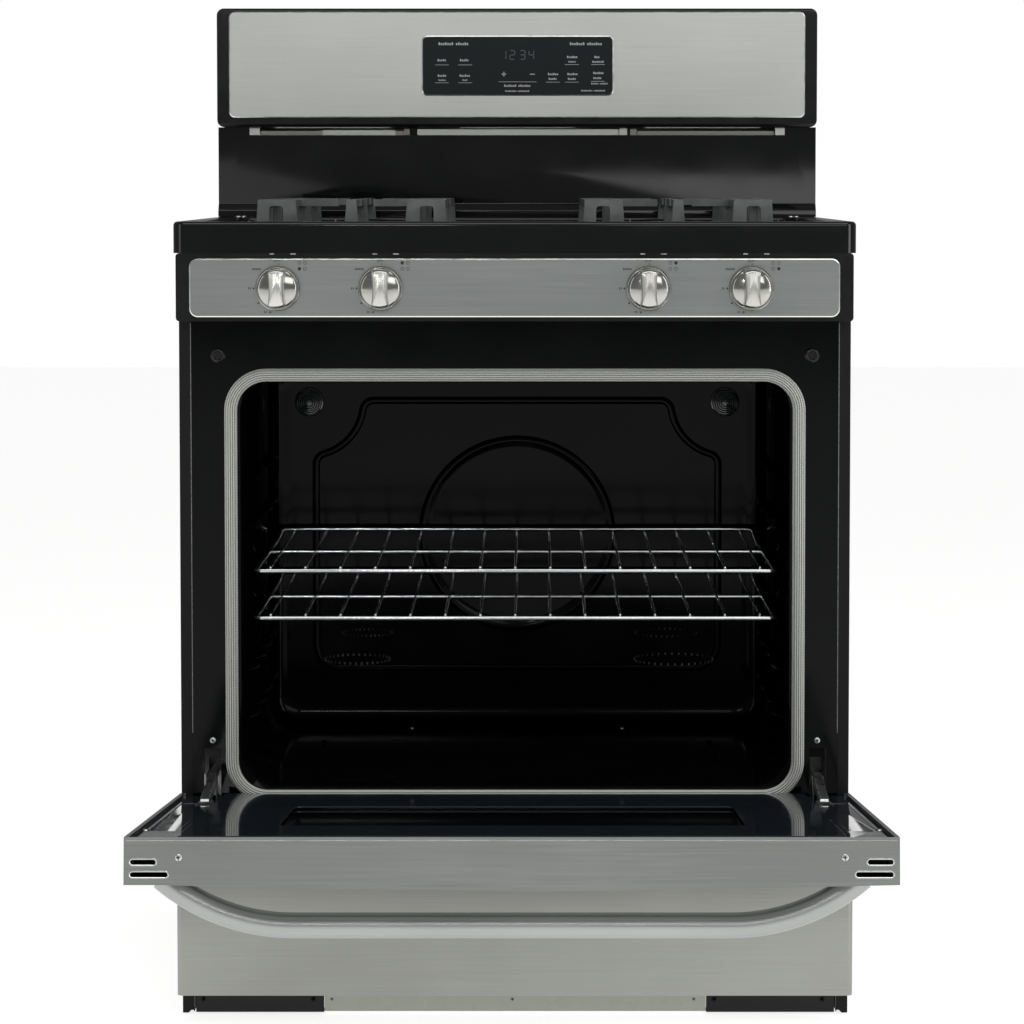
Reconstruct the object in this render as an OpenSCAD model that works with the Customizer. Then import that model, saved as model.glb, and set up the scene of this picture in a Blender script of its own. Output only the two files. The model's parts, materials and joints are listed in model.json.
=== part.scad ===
// Freestanding gas range with its oven door open: sealed cooking top, oven, and a storage drawer below.
// The oven's front plane is worked out at y = 0 and the whole range is then moved back by shift_y,
// so that the origin is on the floor under the middle of the range's outline.

/* [Overall] */
// Width over the side panels
body_w = 755; // [750:1:757]
// Width of the cooking top
top_w = 759; // [758:1:762]
// Height of the cooking top's rim above the floor
top_h = 900; // [896:1:904]
// Depth from the oven's front plane to the back
body_d = 620; // [610:1:640]
// Height of the backguard above the floor
total_h = 1162; // [1150:1:1180]
// Gauge of the sheet steel
sheet = 1.2; // [1:0.1:1.4]

/* [Oven] */
// Width of the oven's opening
cavity_w = 625; // [600:1:630]
// Height of the oven's opening
cavity_h = 463; // [450:1:464]
// Height of the oven's floor above the range's floor
cavity_z = 257; // [256.5:0.5:260]
// Depth of the oven
cavity_d = 480; // [470:1:490]
// Corner radius of the oven's opening
cavity_r = 33; // [28:1:40]
// Width of the woven door gasket
gasket_w = 14.5; // [12:0.5:15]
// How far the gasket stands out of the front frame
gasket_proud = 8.6; // [6:0.1:8.6]

/* [Racks] */
// Height between two rack levels
rack_pitch = 54.4; // [50:0.1:56]
// Number of rack levels
rack_levels = 6; // [5:1:6]
// Height of the lowest rack's front wire
rack_base_z = 336.5; // [334:0.5:340]
// Rack width over its side wires
rack_w = 599; // [590:1:600]
// Rack depth
rack_d = 406; // [396:1:410]
// Number of wires that run front to back
rack_wires = 15; // [13:2:17]

/* [Door] */
// Width of the door
door_w = 755; // [750:1:757]
// Height of the door's top edge
door_top = 785; // [780:1:786]
// Thickness of the door at its edges
door_t = 46.5; // [44:0.5:48]
// How far the middle of the outer skin bows out
crown = 6.3; // [2:0.1:7]
// How far the open door has swung down from closed, in degrees
door_open = 84.5; // [80:0.5:85]
// Diameter of the handle's tube
handle_dia = 25; // [20:1:28]

/* [Controls] */
// Height of the knobs' axes
knob_z = 826; // [822:1:830]
// Diameter of a knob's base
knob_dia = 49; // [44:1:50]
// How far a knob pushes in before it turns
knob_push = 3; // [2:0.5:3]

/* [Cooking top] */
// Side of a square grate
grate_w = 215; // [205:1:218]
// Height of the grates' cooking plane above the rim
grate_rise = 24; // [20:1:28]
// Depth of the well below the rim
well_depth = 12; // [8:1:14]

/* [Drawer] */
// Height of the drawer front's top edge
drawer_top = 198; // [190:1:198]
// Height of the drawer front's bottom edge
drawer_bottom = 33; // [32:1:42]
// Width of the drawer front
drawer_w = 757; // [748:1:758]

/* [Hidden] */
$fn = 64;

touch = 0.3;                        // gap left between bodies that pass each other
weld = 0.4;                         // how far welded wires sink into each other

// cooking top and control panel
panel_reach = 48;                   // cooking top's front edge, forward of the oven's front plane
skirt_z = top_h - 35;               // bottom of the cooking top's skirt
panel_z = 789;                      // bottom of the control panel
panel_t = 1.5;                      // wall of the control panel and of the console
trim_t = 1.5;                       // stainless facing plates
knob_x = [-262.5, -148.5, 148.5, 262.5];
burner_x = 183.5;
burner_y = [112, 352];
well_z = top_h - well_depth;
deck_y = 497;                       // where the backguard starts

// backguard
back_w = 755;
riser_y = deck_y + 8;
riser_top = 1003;
console_y = 490;
console_z = 1013;
vent_half = 338;

// front frame
frame_half = body_w / 2 - 13;
frame_bottom = 218;
cavity_mid = cavity_z + cavity_h / 2;

// sunk hinge pockets in the front frame
pocket_w = 19;
pocket_h = 72;
pocket_z = 285;

// racks
rack_front = 55;
rail_r = 2.8;
wire_r = 1.6;
rack_pitch_x = 40;
guide_reach = 18;                   // how far a rack guide stands in from the oven's side

// door, in its closed place
door_back = -10;
door_face = door_back - door_t;
door_low = 236.5;
lip_z = 224;
liner_y = -13.5;
plateau_y = -9.5;
plateau_half = 326;
skin_t = 1;
hinge_y = -20.2;
hinge_z = 245.7;
hinge_x = 342;
window_z = 545;

// hinge link, at rest
link_y = 4;
link_z = 270;
link_len = 105;
link_angle = 186.5;
link_w = 9.7;
pin_r = 2.5;
pin_gap = 0.05;

// drawer
drawer_face = -52;
drawer_back = 440;
drawer_half = 335;

// the open door's front edge and the back of the range are as far from the origin as each other
function open_y(y, z) = hinge_y + (y - hinge_y) * cos(door_open) - (z - hinge_z) * sin(door_open);
shift_y = -(open_y(door_face - crown, door_top) + body_d) / 2;

function rack_z(level) = rack_base_z + level * rack_pitch;

// ---------- shared shapes ----------

// a plate in the XZ plane from y to y + t
module face_plate(y, t) translate([0, y + t, 0]) rotate([90, 0, 0]) linear_extrude(t) children();

// a plate in the YZ plane from x to x + t
module side_plate(x, t) translate([x, 0, 0]) rotate([90, 0, 90]) linear_extrude(t) children();

// a centred rectangle with round corners
module round_rect(w, h, r) {
    square([w - 2 * r, h], center = true);
    square([w, h - 2 * r], center = true);
    for (x = [-1, 1], y = [-1, 1]) translate([x * (w / 2 - r), y * (h / 2 - r)]) circle(r);
}

module round_ring(w, h, r, wall) {
    difference() {
        round_rect(w, h, r);
        round_rect(w - 2 * wall, h - 2 * wall, max(r - wall, 0.5));
    }
}

module both_sides() {
    children();
    mirror([1, 0, 0]) children();
}

// a slot, centred, with its long side along x
module slot(length, width) round_rect(length, width, width / 2 - 0.01);

// a pan-head screw at the origin whose head faces -y
module screw(r = 4, shank = 7) {
    rotate([90, 0, 0]) cylinder(r = r, h = 1.2);
    translate([0, -1.2, 0]) rotate([90, 0, 0]) cylinder(r = r * 0.72, h = 0.9);
    rotate([-90, 0, 0]) cylinder(r = 1.9, h = shank);
}

// a straight round tube or rod between two points on one axis line
module rod(from, to, r) {
    d = to - from;
    len = norm(d);
    translate(from) rotate([0, acos(d[2] / len), atan2(d[1], d[0])]) cylinder(r = r, h = len);
}

// ---------- body ----------

module side_panel() {
    foot_z = 1.5;
    flange = 13;
    color("#26282a") difference() {
        union() {
            translate([body_w / 2 - sheet, 0, foot_z]) cube([sheet, body_d - sheet, skirt_z + 12 - foot_z]);
            translate([body_w / 2 - flange, 0, foot_z]) cube([flange, sheet, skirt_z - 2 - foot_z]);
            translate([body_w / 2 - flange, 0, foot_z]) cube([sheet, flange, skirt_z - 2 - foot_z]);
            translate([body_w / 2 - 18, body_d - 2 * sheet, foot_z]) cube([18, sheet, skirt_z - foot_z]);
            translate([body_w / 2 - flange, flange, foot_z]) cube([flange, body_d - flange - sheet, sheet]);
        }
        // the front foot is bevelled on its inner side
        translate([body_w / 2 - flange, -1, foot_z]) rotate([0, 45, 0]) cube([9, flange + 2, 9], center = true);
    }
}

module side_panels() {
    both_sides() side_panel();
}

module rear_panel() {
    low = 30;
    split = 170;
    high = skirt_z - 1;
    y = body_d - sheet;
    half = body_w / 2;
    color("#b4b6b0") {
        // upper sheet, with two stiffening ribs and cooling slots
        difference() {
            union() {
                translate([-half, y, split]) cube([body_w, sheet, high - split]);
                for (x = [-180, 180]) face_plate(y - 3, 3 + sheet / 2) translate([x, 480]) slot_upright(560, 18);
            }
            for (i = [0:9], x = [-1, 1]) face_plate(body_d - 5, 10)
                translate([x * 90, 700 + i * 12]) slot(120, 5);
        }
        // lower sheets, on each side of the gas inlet's notch
        translate([-half, y, low]) cube([half - 325, sheet, split - low - 0.4]);
        difference() {
            translate([-175, y, low]) cube([half + 175, sheet, split - low - 0.4]);
            translate([250, body_d - 10, 110]) rotate([-90, 0, 0]) cylinder(r = 11, h = 20);
        }
    }
}

module slot_upright(length, width) rotate(90) slot(length, width);

module base_rails() {
    color("#b4b6b0") {
        // rear cross rail
        translate([-350, body_d - 40, 8]) cube([700, sheet, 34]);
        translate([-350, body_d - 40, 8]) cube([700, 32, sheet]);
        // the two rails that join it to the kick rail
        both_sides() {
            translate([336, 4, 20]) cube([28, body_d - 44, sheet]);
            translate([364 - sheet, 4, 20]) cube([sheet, body_d - 44, 22]);
        }
    }
}

module front_frame() {
    color("#0e0f0f") difference() {
        union() {
            face_plate(0, sheet) translate([0, (frame_bottom + panel_z) / 2])
                square([2 * frame_half, panel_z - frame_bottom], center = true);
            // returns along the top and the bottom
            for (z = [frame_bottom, panel_z - sheet]) translate([-frame_half, 0, z])
                cube([2 * frame_half, 14, sheet]);
            // raised eyelets
            both_sides() translate([334, -1, 749.5]) rotate([-90, 0, 0]) {
                cylinder(r = 7.5, h = 1.5);
                cylinder(r = 5.8, h = 8);
            }
        }
        face_plate(-5, 10) translate([0, cavity_mid]) round_rect(cavity_w, cavity_h, cavity_r);
        both_sides() {
            translate([334, -3, 749.5]) rotate([-90, 0, 0]) cylinder(r = 4.6, h = 9);
            face_plate(-5, 25) translate([hinge_x, pocket_z]) round_rect(pocket_w, pocket_h, 4);
        }
    }
    // sunk pockets that the hinges stand in, with a seat for a screw at the top
    color("#0e0f0f") both_sides() {
        face_plate(0.2, 9) translate([hinge_x, pocket_z]) round_ring(pocket_w + 2.4, pocket_h + 2.4, 5.2, 1.25);
        translate([hinge_x - pocket_w / 2 - 0.5, 2.4, 304]) cube([pocket_w + 1, sheet, pocket_z + pocket_h / 2 - 303.5]);
    }
}

// outline of the raised band on the oven's back wall, drawn in by inset
module back_outline(inset) {
    half = 259 - inset;
    top = 671 - inset;
    low = 322 + inset;
    r = 30 - inset / 2;
    difference() {
        translate([0, (top + low) / 2]) round_rect(2 * half, top - low, r);
        // clear round each lamp
        for (s = [-1, 1]) translate([s * 262, 667]) circle(62.8 + inset);
    }
}

module oven_liner() {
    flue_y = cavity_d - 38;
    color("#121414") {
        difference() {
            face_plate(sheet, cavity_d - sheet) translate([0, cavity_mid])
                round_ring(cavity_w + 2 * sheet, cavity_h + 2 * sheet, cavity_r + sheet, sheet);
            // flue outlet in the ceiling
            translate([-70, flue_y, cavity_z + cavity_h - 3]) cube([140, 26, 10]);
            // burner opening in the bottom, under the floor panel
            translate([-220, 70, cavity_z - 5]) cube([440, 350, 10]);
        }
        face_plate(cavity_d, sheet) translate([0, cavity_mid])
            round_rect(cavity_w + 2 * sheet, cavity_h + 2 * sheet, cavity_r + sheet);
        // raised band and round boss on the back wall
        face_plate(cavity_d - 4, 4.2) difference() {
            back_outline(0);
            back_outline(10.5);
        }
        translate([0, cavity_d - 3, 501]) rotate([-90, 0, 0]) cylinder(r = 121, h = 3.2);
    }
}

module rack_guide(z) {
    bead = 6;
    top = z - rail_r - touch;
    translate([cavity_w / 2 - guide_reach + bead / 2, 44, top - bead])
        cube([guide_reach - bead / 2 - 0.05, 404, bead]);
    translate([cavity_w / 2 - guide_reach + bead / 2, 44, top - bead / 2])
        rotate([-90, 0, 0]) cylinder(r = bead / 2, h = 404);
}

module rack_guides() {
    color("#1b1e1d") for (i = [0:rack_levels - 1]) both_sides() rack_guide(rack_z(i));
}

module oven_floor() {
    half = cavity_w / 2 - cavity_r - 1.5;
    color("#141616") difference() {
        union() {
            translate([-half, 16, cavity_z]) cube([2 * half, cavity_d - 34, sheet]);
            translate([-half, 16, cavity_z]) cube([2 * half, 3, 5]);
        }
        for (y = [96, 210, 324, 400], x = [-1, 1]) translate([x * 236, y, cavity_z - 2])
            linear_extrude(6) rotate(90) slot(44, 7);
    }
}

module oven_gasket() {
    w = cavity_w + 2 * gasket_w;
    h = cavity_h + 2 * gasket_w;
    color("#8e918c") face_plate(-gasket_proud, gasket_proud) translate([0, cavity_mid])
        round_ring(w, h, cavity_r + gasket_w, gasket_w);
}

module oven_lamps() {
    color("#dfe3e2") both_sides() translate([262, cavity_d, 667]) rotate([90, 0, 0]) {
        cylinder(r = 18.5, h = 4);
        cylinder(r = 15.5, h = 12);
        translate([0, 0, 12]) intersection() {
            scale(1) sphere(r = 15.5);
            cylinder(r = 16, h = 6);
        }
    }
}

module broil_burner() {
    z = cavity_z + cavity_h - 8;
    color("#9a9c98") {
        rod([0, 262, z], [0, 425, z], 5);
        for (y = [290, 400]) rod([-80, y, z], [80, y, z], 4.5);
        for (y = [290, 400], x = [-70, 70]) rod([x, y, z], [x, y, z + 7.9], 3);
    }
}

module bake_burner() {
    color("#9a9c98") {
        rod([0, 84, 240], [0, 406, 240], 11);
        for (y = [130, 360]) rod([-150, y, 240], [150, y, 240], 8);
    }
}

module burner_box() {
    color("#a6a8a3") difference() {
        translate([-240, 66, 216]) cube([480, 358, cavity_z - sheet - 216]);
        translate([-240 + sheet, 66 + sheet, 216 + sheet]) cube([480 - 2 * sheet, 358 - 2 * sheet, 60]);
        // air inlets
        for (i = [-4:4]) translate([i * 45, 245, 210]) linear_extrude(12) rotate(90) slot(120, 10);
    }
}

module temperature_probe() {
    z = cavity_z + cavity_h - 15;
    color("#c4c6c4") {
        rod([-200, cavity_d - 84, z], [-200, cavity_d - 1, z], 3);
        face_plate(cavity_d - 1.5, 1.5) translate([-200, z]) round_rect(36, 14, 3);
    }
}

module insulation() {
    half = 345;
    color("#d9cf9c") difference() {
        translate([-half, 22, cavity_z - 12]) cube([2 * half, cavity_d + 14, cavity_h + 44]);
        face_plate(0, cavity_d + sheet) translate([0, cavity_mid])
            round_rect(cavity_w + 2 * sheet, cavity_h + 2 * sheet, cavity_r + sheet);
        // clear below the oven's floor, round the hinges, and round the flue
        translate([-half - 1, 0, cavity_z - 20]) cube([2 * half + 2, cavity_d + 1, 40 + 20]);
        both_sides() translate([hinge_x - 12, 0, 230]) cube([40, 60, 100]);
        translate([-79, cavity_d - 46, cavity_z + cavity_h - 2]) cube([158, 144, 60]);
    }
}

module flue_duct() {
    low = cavity_z + cavity_h + sheet;
    color("#a6a8a3") difference() {
        union() {
            translate([-76, cavity_d - 42, low]) cube([152, 34, 772 - low]);
            translate([-76, cavity_d - 42, 738]) cube([152, 130, 34]);
            translate([-76, cavity_d + 54, 738]) cube([152, 34, riser_top - 738]);
        }
        translate([-75, cavity_d - 41, low - 1]) cube([150, 32, 772 - low]);
        translate([-75, cavity_d - 41, 739]) cube([150, 128, 32]);
        translate([-75, cavity_d + 55, 739]) cube([150, 32, 300]);
    }
}

// ---------- cooking top ----------

// the cooking top's plan, drawn in by inset: round front corners, square back corners
module top_plan(inset) {
    r = 14;
    half = top_w / 2 - inset;
    front = -panel_reach + inset;
    back = body_d - sheet - inset;
    translate([-half, front + r]) square([2 * half, back - front - r]);
    translate([-half + r, front]) square([2 * half - 2 * r, r + 1]);
    for (x = [-1, 1]) translate([x * (half - r), front + r]) circle(r);
}

module well_plan(outset) {
    w = 2 * (top_w / 2 - 30) + 2 * outset;
    front = -panel_reach + 26 - outset;
    back = deck_y - 8 + outset;
    translate([0, (front + back) / 2]) round_rect(w, back - front, 22 + outset);
}

module cooktop() {
    color("#1d1f1e") difference() {
        union() {
            translate([0, 0, skirt_z]) linear_extrude(top_h - skirt_z) difference() {
                top_plan(0);
                top_plan(1.5);
            }
            translate([0, 0, top_h - 1.5]) linear_extrude(1.5) difference() {
                top_plan(0);
                well_plan(0);
            }
            translate([0, 0, well_z - 1.5]) linear_extrude(well_depth + 1.5) difference() {
                well_plan(1.5);
                well_plan(0);
            }
            translate([0, 0, well_z - 1.5]) linear_extrude(1.5) well_plan(0.5);
        }
        for (x = [-1, 1], y = burner_y) translate([x * burner_x, y, well_z - 5]) cylinder(r = 26, h = 10);
        // flue and backguard openings in the rear deck
        translate([-78, cavity_d + 52, top_h - 5]) cube([156, 38, 10]);
        translate([-380, body_d - 20, skirt_z - 1]) cube([760, 30, 34]);
    }
}

module burner_head(r) {
    difference() {
        union() {
            cylinder(r = r - 3, h = 5);
            translate([0, 0, -14]) cylinder(r = 22, h = 15);
        }
        translate([0, 0, -15]) cylinder(r = 12, h = 12);
    }
    // spark igniter beside the head
    translate([-r - 3.9, 0, 0]) {
        cylinder(r = 3.4, h = 7);
        translate([0, 0, 6]) cylinder(r = 1, h = 4);
    }
}

function burner_r(side, y) = side > 0 && y == burner_y[0] ? 49 : (side < 0 && y == burner_y[1] ? 34 : 41);

module burner_heads() {
    color("#b9bbb8") for (x = [-1, 1], y = burner_y)
        translate([x * burner_x, y, well_z]) burner_head(burner_r(x, y));
}

module burner_caps() {
    color("#1b1c1c") for (x = [-1, 1], y = burner_y) translate([x * burner_x, y, well_z + 5]) {
        cylinder(r = burner_r(x, y), h = 4);
        translate([0, 0, 4]) cylinder(r = burner_r(x, y) - 4, h = 2);
    }
}

// one leg of a grate, wider at its foot
module grate_leg(top_width, foot_width, depth, height) {
    translate([0, depth / 2, 0]) rotate([90, 0, 0]) linear_extrude(depth) polygon([
        [-foot_width / 2, 0], [foot_width / 2, 0], [top_width / 2, height], [-top_width / 2, height]
    ]);
}

// the front or back of a grate: corner leg, window and inner leg, for one side
module grate_end(h, half, depth) {
    lean = 2.2;                     // how far the corner leg leans in at the top
    round = 6;
    window = [15.2, 30.8, h - 7];   // the window's outer edge, inner edge and height
    translate([0, depth, 0]) rotate([90, 0, 0]) linear_extrude(depth) difference() {
        union() {
            polygon([
                [half, 0], [half - lean, h - round], [half - lean - round, h],
                [62.7, h], [59.7, 0]
            ]);
            translate([half - lean - round, h - round]) circle(round);
        }
        translate([half - (window[0] + window[1]) / 2, window[2] / 2 - 4])
            round_rect(window[1] - window[0], window[2] + 8, 4);
    }
}

module grate() {
    h = grate_rise + well_depth;    // height from the well to the cooking plane
    bar = 10;
    rise = 8;                       // depth of the bars
    foot = 6;                       // height of the ring that the legs stand on
    half = grate_w / 2;
    finger = 68;
    side = half - 2.2;              // outer face of the side bars
    module bar_box(x0, x1, y0, y1) translate([x0, y0, h - rise]) cube([x1 - x0, y1 - y0, rise]);
    color("#5a5d5c") {
        linear_extrude(foot) difference() {
            square(grate_w, center = true);
            square(grate_w - 18, center = true);
        }
        for (s = [-1, 1]) {
            for (t = [-1, 1]) mirror([s > 0 ? 0 : 1, 0, 0]) translate([0, t > 0 ? half - bar : -half, 0]) grate_end(h, half, bar);
            // side bars, long bars, middle fingers and cross fingers
            bar_box(s > 0 ? side - bar : -side, s > 0 ? side : -side + bar, -half + 1, half - 1);
            bar_box(s * finger - bar / 2, s * finger + bar / 2, -half + 1, half - 1);
            bar_box(-bar / 2, bar / 2, s > 0 ? 26 : -half + 1, s > 0 ? half - 1 : -26);
            bar_box(s > 0 ? 20 : -side, s > 0 ? side : -20, -bar / 2, bar / 2);
            translate([0, s * (half - bar / 2), 0]) grate_leg(10.6, 16.7, bar, h);
            translate([s * (side - bar / 2), 0, 0]) rotate(90) grate_leg(10.6, 16.7, bar, h);
        }
    }
}

module grates(side) {
    for (y = burner_y) translate([side * burner_x, y, well_z]) grate();
}

// ---------- gas ----------

module manifold_pipe() {
    r = 7;
    route = [[-290, 556, 110], [-359, 556, 110], [-359, 556, 846], [-359, 24, 846], [300, 24, 846]];
    color("#b9bbb8") {
        for (i = [0:len(route) - 2]) rod(route[i], route[i + 1], r);
        for (i = [1:len(route) - 2]) translate(route[i]) sphere(r = r);
        translate([300, 24, 846]) rotate([0, 90, 0]) cylinder(r = 10, h = 12, $fn = 6);
    }
}

module gas_valves() {
    color("#c9a24a") for (i = [0:3]) {
        x = knob_x[i];
        y = burner_y[i == 0 || i == 3 ? 0 : 1];
        side = sign(x);
        difference() {
            union() {
                translate([x, -32, knob_z]) rotate([-90, 0, 0]) cylinder(r = 12, h = 40);
                translate([x - 9, 6, knob_z - 10]) cube([18, 28, 20 - 7.2]);
            }
            translate([x, -33, knob_z]) rotate([-90, 0, 0]) cylinder(r = 3.15 + pin_gap, h = 16);
        }
        // feed tube to its burner
        rod([x, 33, knob_z - 4], [x, y, knob_z - 4], 3);
        translate([x, y, knob_z - 4]) sphere(r = 3);
        rod([x, y, knob_z - 4], [side * burner_x, y, knob_z - 4], 3);
        translate([side * burner_x, y, knob_z - 4]) sphere(r = 3);
        rod([side * burner_x, y, knob_z - 4], [side * burner_x, y, well_z - 14], 3);
    }
}

module gas_regulator() {
    color("#8f918e") difference() {
        union() {
            translate([-290, 540, 94]) cube([66, 32, 32]);
            translate([-257, 556, 126]) cylinder(r = 24, h = 14);
            translate([-257, 556, 140]) cylinder(r = 12, h = 12);
            translate([-250, 570, 110]) rotate([-90, 0, 0]) cylinder(r = 15, h = 40);
        }
        // pipe-threaded inlet
        translate([-250, 580, 110]) rotate([-90, 0, 0]) cylinder(r = 9.3, h = 40);
    }
}

// ---------- controls ----------

module control_panel() {
    h = skirt_z - panel_z - touch;
    color("#101111") difference() {
        union() {
            face_plate(-panel_reach, panel_t) translate([0, panel_z + h / 2 + touch]) round_rect(752, h - touch, 4);
            face_plate(-panel_reach, panel_reach - 3) translate([0, panel_z + h / 2 + touch])
                round_ring(752, h - touch, 4, panel_t);
        }
        for (x = knob_x) translate([x, -60, knob_z]) rotate([-90, 0, 0]) cylinder(r = 6, h = 40);
    }
}

module control_trim() {
    color("#8a8c8a") difference() {
        face_plate(-panel_reach - trim_t, trim_t) translate([0, 826.6]) round_rect(721, 64.4, 9);
        for (x = knob_x) translate([x, -60, knob_z]) rotate([-90, 0, 0]) cylinder(r = 6, h = 40);
    }
}

// a stem slides in its valve and carries its knob
module valve_stem(i) {
    color("#b9bbb8") translate([knob_x[i], -74, knob_z]) rotate([-90, 0, 0]) cylinder(r = 3.15, h = 50);
}

module knob(i) {
    base_y = -panel_reach - trim_t - knob_push - 0.6;
    r = knob_dia / 2;
    color("#c8c8c4") translate([knob_x[i], base_y, knob_z]) rotate([90, 0, 0]) difference() {
        union() {
            cylinder(r = r, h = 3);
            translate([0, 0, 3]) cylinder(r = r - 2, h = 8);
            // grip across the face, with round ends
            intersection() {
                translate([-9.3, -r, 10]) cube([18.6, 2 * r, 17]);
                cylinder(r = r - 2, h = 27);
            }
        }
        translate([0, 0, -1]) cylinder(r = 3.15 + pin_gap, h = 22.5);
    }
}

// ---------- backguard ----------

// a side outline whose front edges are round
module front_round(y0, y1, z0, z1, r) {
    translate([y0 + r, z0]) square([y1 - y0 - r, z1 - z0]);
    translate([y0, z0 + r]) square([r + 0.01, z1 - z0 - 2 * r]);
    for (z = [z0 + r, z1 - r]) translate([y0 + r, z]) circle(r);
}

module console_shell() {
    back = body_d - sheet;
    half = back_w / 2;
    mid = (console_z + total_h) / 2;
    h = total_h - console_z;
    color("#101111") difference() {
        intersection() {
            side_plate(-half, back_w) front_round(console_y, back, console_z, total_h, 5);
            face_plate(console_y - 1, 200) translate([0, mid]) round_rect(back_w, h, 9);
        }
        intersection() {
            side_plate(-half, back_w) front_round(console_y + panel_t, back + 1, console_z, total_h, 5);
            face_plate(console_y - 1, 200) translate([0, mid]) round_rect(back_w - 2 * panel_t, h - 2 * panel_t, 7.5);
        }
    }
}

module display_outline(grow) translate([0.8, 1090]) round_rect(239 + grow, 73 + grow, 6);

module console_trim() {
    color("#b2b4b0") face_plate(console_y - trim_t, trim_t) difference() {
        translate([0, 1091.2]) round_rect(724, 132, 7);
        display_outline(0.4);
    }
}

module display_glass() {
    color("#333739") face_plate(console_y - trim_t - 0.8, trim_t + 0.8) display_outline(0);
}

module control_board() {
    color("#2f5a3c") {
        face_plate(console_y + 8, 1.6) translate([0, 1090]) square([226, 66], center = true);
        for (x = [-70, 0, 70]) translate([x - 15, console_y + 9.6, 1075]) cube([30, 14, 26]);
        for (x = [-105, 105], z = [1064, 1116]) translate([x, console_y + panel_t, z])
            rotate([-90, 0, 0]) cylinder(r = 2.5, h = 8 - panel_t);
    }
}

module riser_panel() {
    half = back_w / 2;
    side = [[deck_y, top_h], [deck_y, top_h + 8], [riser_y, top_h + 17], [riser_y, console_z],
        [body_d - sheet, console_z], [body_d - sheet, top_h]];
    color("#1a1c1b") {
        side_plate(-half, back_w) polygon([
            [deck_y, top_h], [deck_y, top_h + 8], [riser_y, top_h + 17], [riser_y, riser_top],
            [riser_y + 22, riser_top], [riser_y + 22, riser_top - sheet], [riser_y + sheet, riser_top - sheet],
            [riser_y + sheet, top_h + 16.5], [deck_y + sheet, top_h + 7.5], [deck_y + sheet, top_h]
        ]);
        both_sides() {
            side_plate(half - sheet, sheet) polygon(side);
            translate([vent_half, riser_y, riser_top - sheet]) cube([half - vent_half, sheet, console_z - riser_top + sheet]);
        }
    }
}

module vent_grille() {
    z = riser_top;
    h = console_z - riser_top;
    color("#8f918c") {
        translate([-vent_half, riser_y + 12, z]) cube([2 * vent_half, 6, 1.6]);
        translate([-324, riser_y + 12, z]) cube([178, sheet, h - 2]);
        translate([156, riser_y + 12, z]) cube([172, sheet, h - 2]);
        translate([-126, riser_y + 6, z]) cube([255, 8, h - 3]);
        for (x = [-337, -143, 131, 143, 328]) translate([x, riser_y + 9, z]) cube([8, 6, h - 1.5]);
    }
}

module backguard_cover() {
    low = skirt_z + 2;
    high = total_h - 8;
    color("#b4b6b0") difference() {
        face_plate(body_d - sheet, sheet) translate([0, (low + high) / 2]) square([back_w - 8, high - low], center = true);
        for (i = [0:5], x = [-240, 0, 240]) face_plate(body_d - 5, 10) translate([x, 940 + i * 12]) slot(150, 5);
    }
}

// ---------- base ----------

module kick_rail() {
    color("#9a9c90") {
        translate([-216.5, -sheet, 3.5]) cube([433, sheet, 40.5]);
        translate([-216.5, -sheet, 3.5]) cube([433, 16, sheet]);
    }
}

module kick_brackets() {
    color("#151616") both_sides() {
        translate([216.5 + touch, -sheet, 2.5]) cube([145.5, sheet, 41.5]);
        translate([216.5 + touch, -sheet, 2.5]) cube([145.5, 18, sheet]);
    }
}

module levelling_legs() {
    color("#6f7170") for (x = [-350, 350], y = [48, body_d - 60]) translate([x, y, 0]) {
        cylinder(r = 11, h = 5, $fn = 6);
        translate([0, 0, 5]) cylinder(r = 4.5, h = 15);
    }
}

module cord_gland() {
    color("#1b1c1c") translate([250, body_d - 8, 110]) rotate([-90, 0, 0]) difference() {
        union() {
            cylinder(r = 10.8, h = 12);
            translate([0, 0, 8]) cylinder(r = 14, h = 4);
            cylinder(r = 14, h = 6.5);
        }
        translate([0, 0, -1]) cylinder(r = 4.5, h = 20);
    }
}

module body_screws() {
    color("#b9bbb8") {
        // hinge receivers
        for (x = [-hinge_x, hinge_x]) translate([x, 2.4, 313]) screw(3.6, 5);
        // kick rail and brackets
        for (x = [-354, -229, -208, -3, 203, 226, 349]) translate([x, -sheet, 17]) screw(3.2, 5);
        // cooking top, at the back
        both_sides() for (x = [345, 352]) translate([x, deck_y - 5, top_h]) rotate([-90, 0, 0]) screw(3.4);
        // oven floor
        both_sides() for (y = [30, cavity_d - 40]) translate([132, y, cavity_z + sheet]) rotate([-90, 0, 0]) screw(4);
        // rear panel and backguard cover
        both_sides() {
            for (z = [60, 300, 560, 840]) translate([366, body_d, z]) rotate([0, 0, 180]) screw(4);
            for (z = [900, 1020, 1140]) translate([360, body_d, z]) rotate([0, 0, 180]) screw(4);
        }
    }
}

// ---------- door ----------

// swings the closed door's pieces down to their open place
module swung() translate([0, hinge_y, hinge_z]) rotate([door_open, 0, 0]) translate([0, -hinge_y, -hinge_z]) children();

// the bowed outer face in plan, drawn in by inset, back to the line y = back
module door_plan(inset, back) {
    steps = 24;
    half = door_w / 2 - inset;
    bow_half = 332;
    bow_r = (bow_half * bow_half + crown * crown) / (2 * crown);
    swing = asin(bow_half / bow_r);
    arc = [for (i = [0:steps]) let (a = swing * (1 - 2 * i / steps))
        [bow_r * sin(a), door_face + inset - crown + bow_r * (1 - cos(a))]];
    polygon(concat(
        [[-half, back], [-half, door_face + inset]],
        [for (i = [0:steps]) [-arc[i][0], arc[i][1]]],
        [[half, door_face + inset], [half, back]]
    ));
}

module window_cut(w, h, r) face_plate(-90, 85) translate([0, window_z]) round_rect(w, h, r);

module hinge_notch() both_sides() translate([hinge_x - 7.6, -34, door_low - 30]) cube([15.2, 40, 31.5]);

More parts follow.
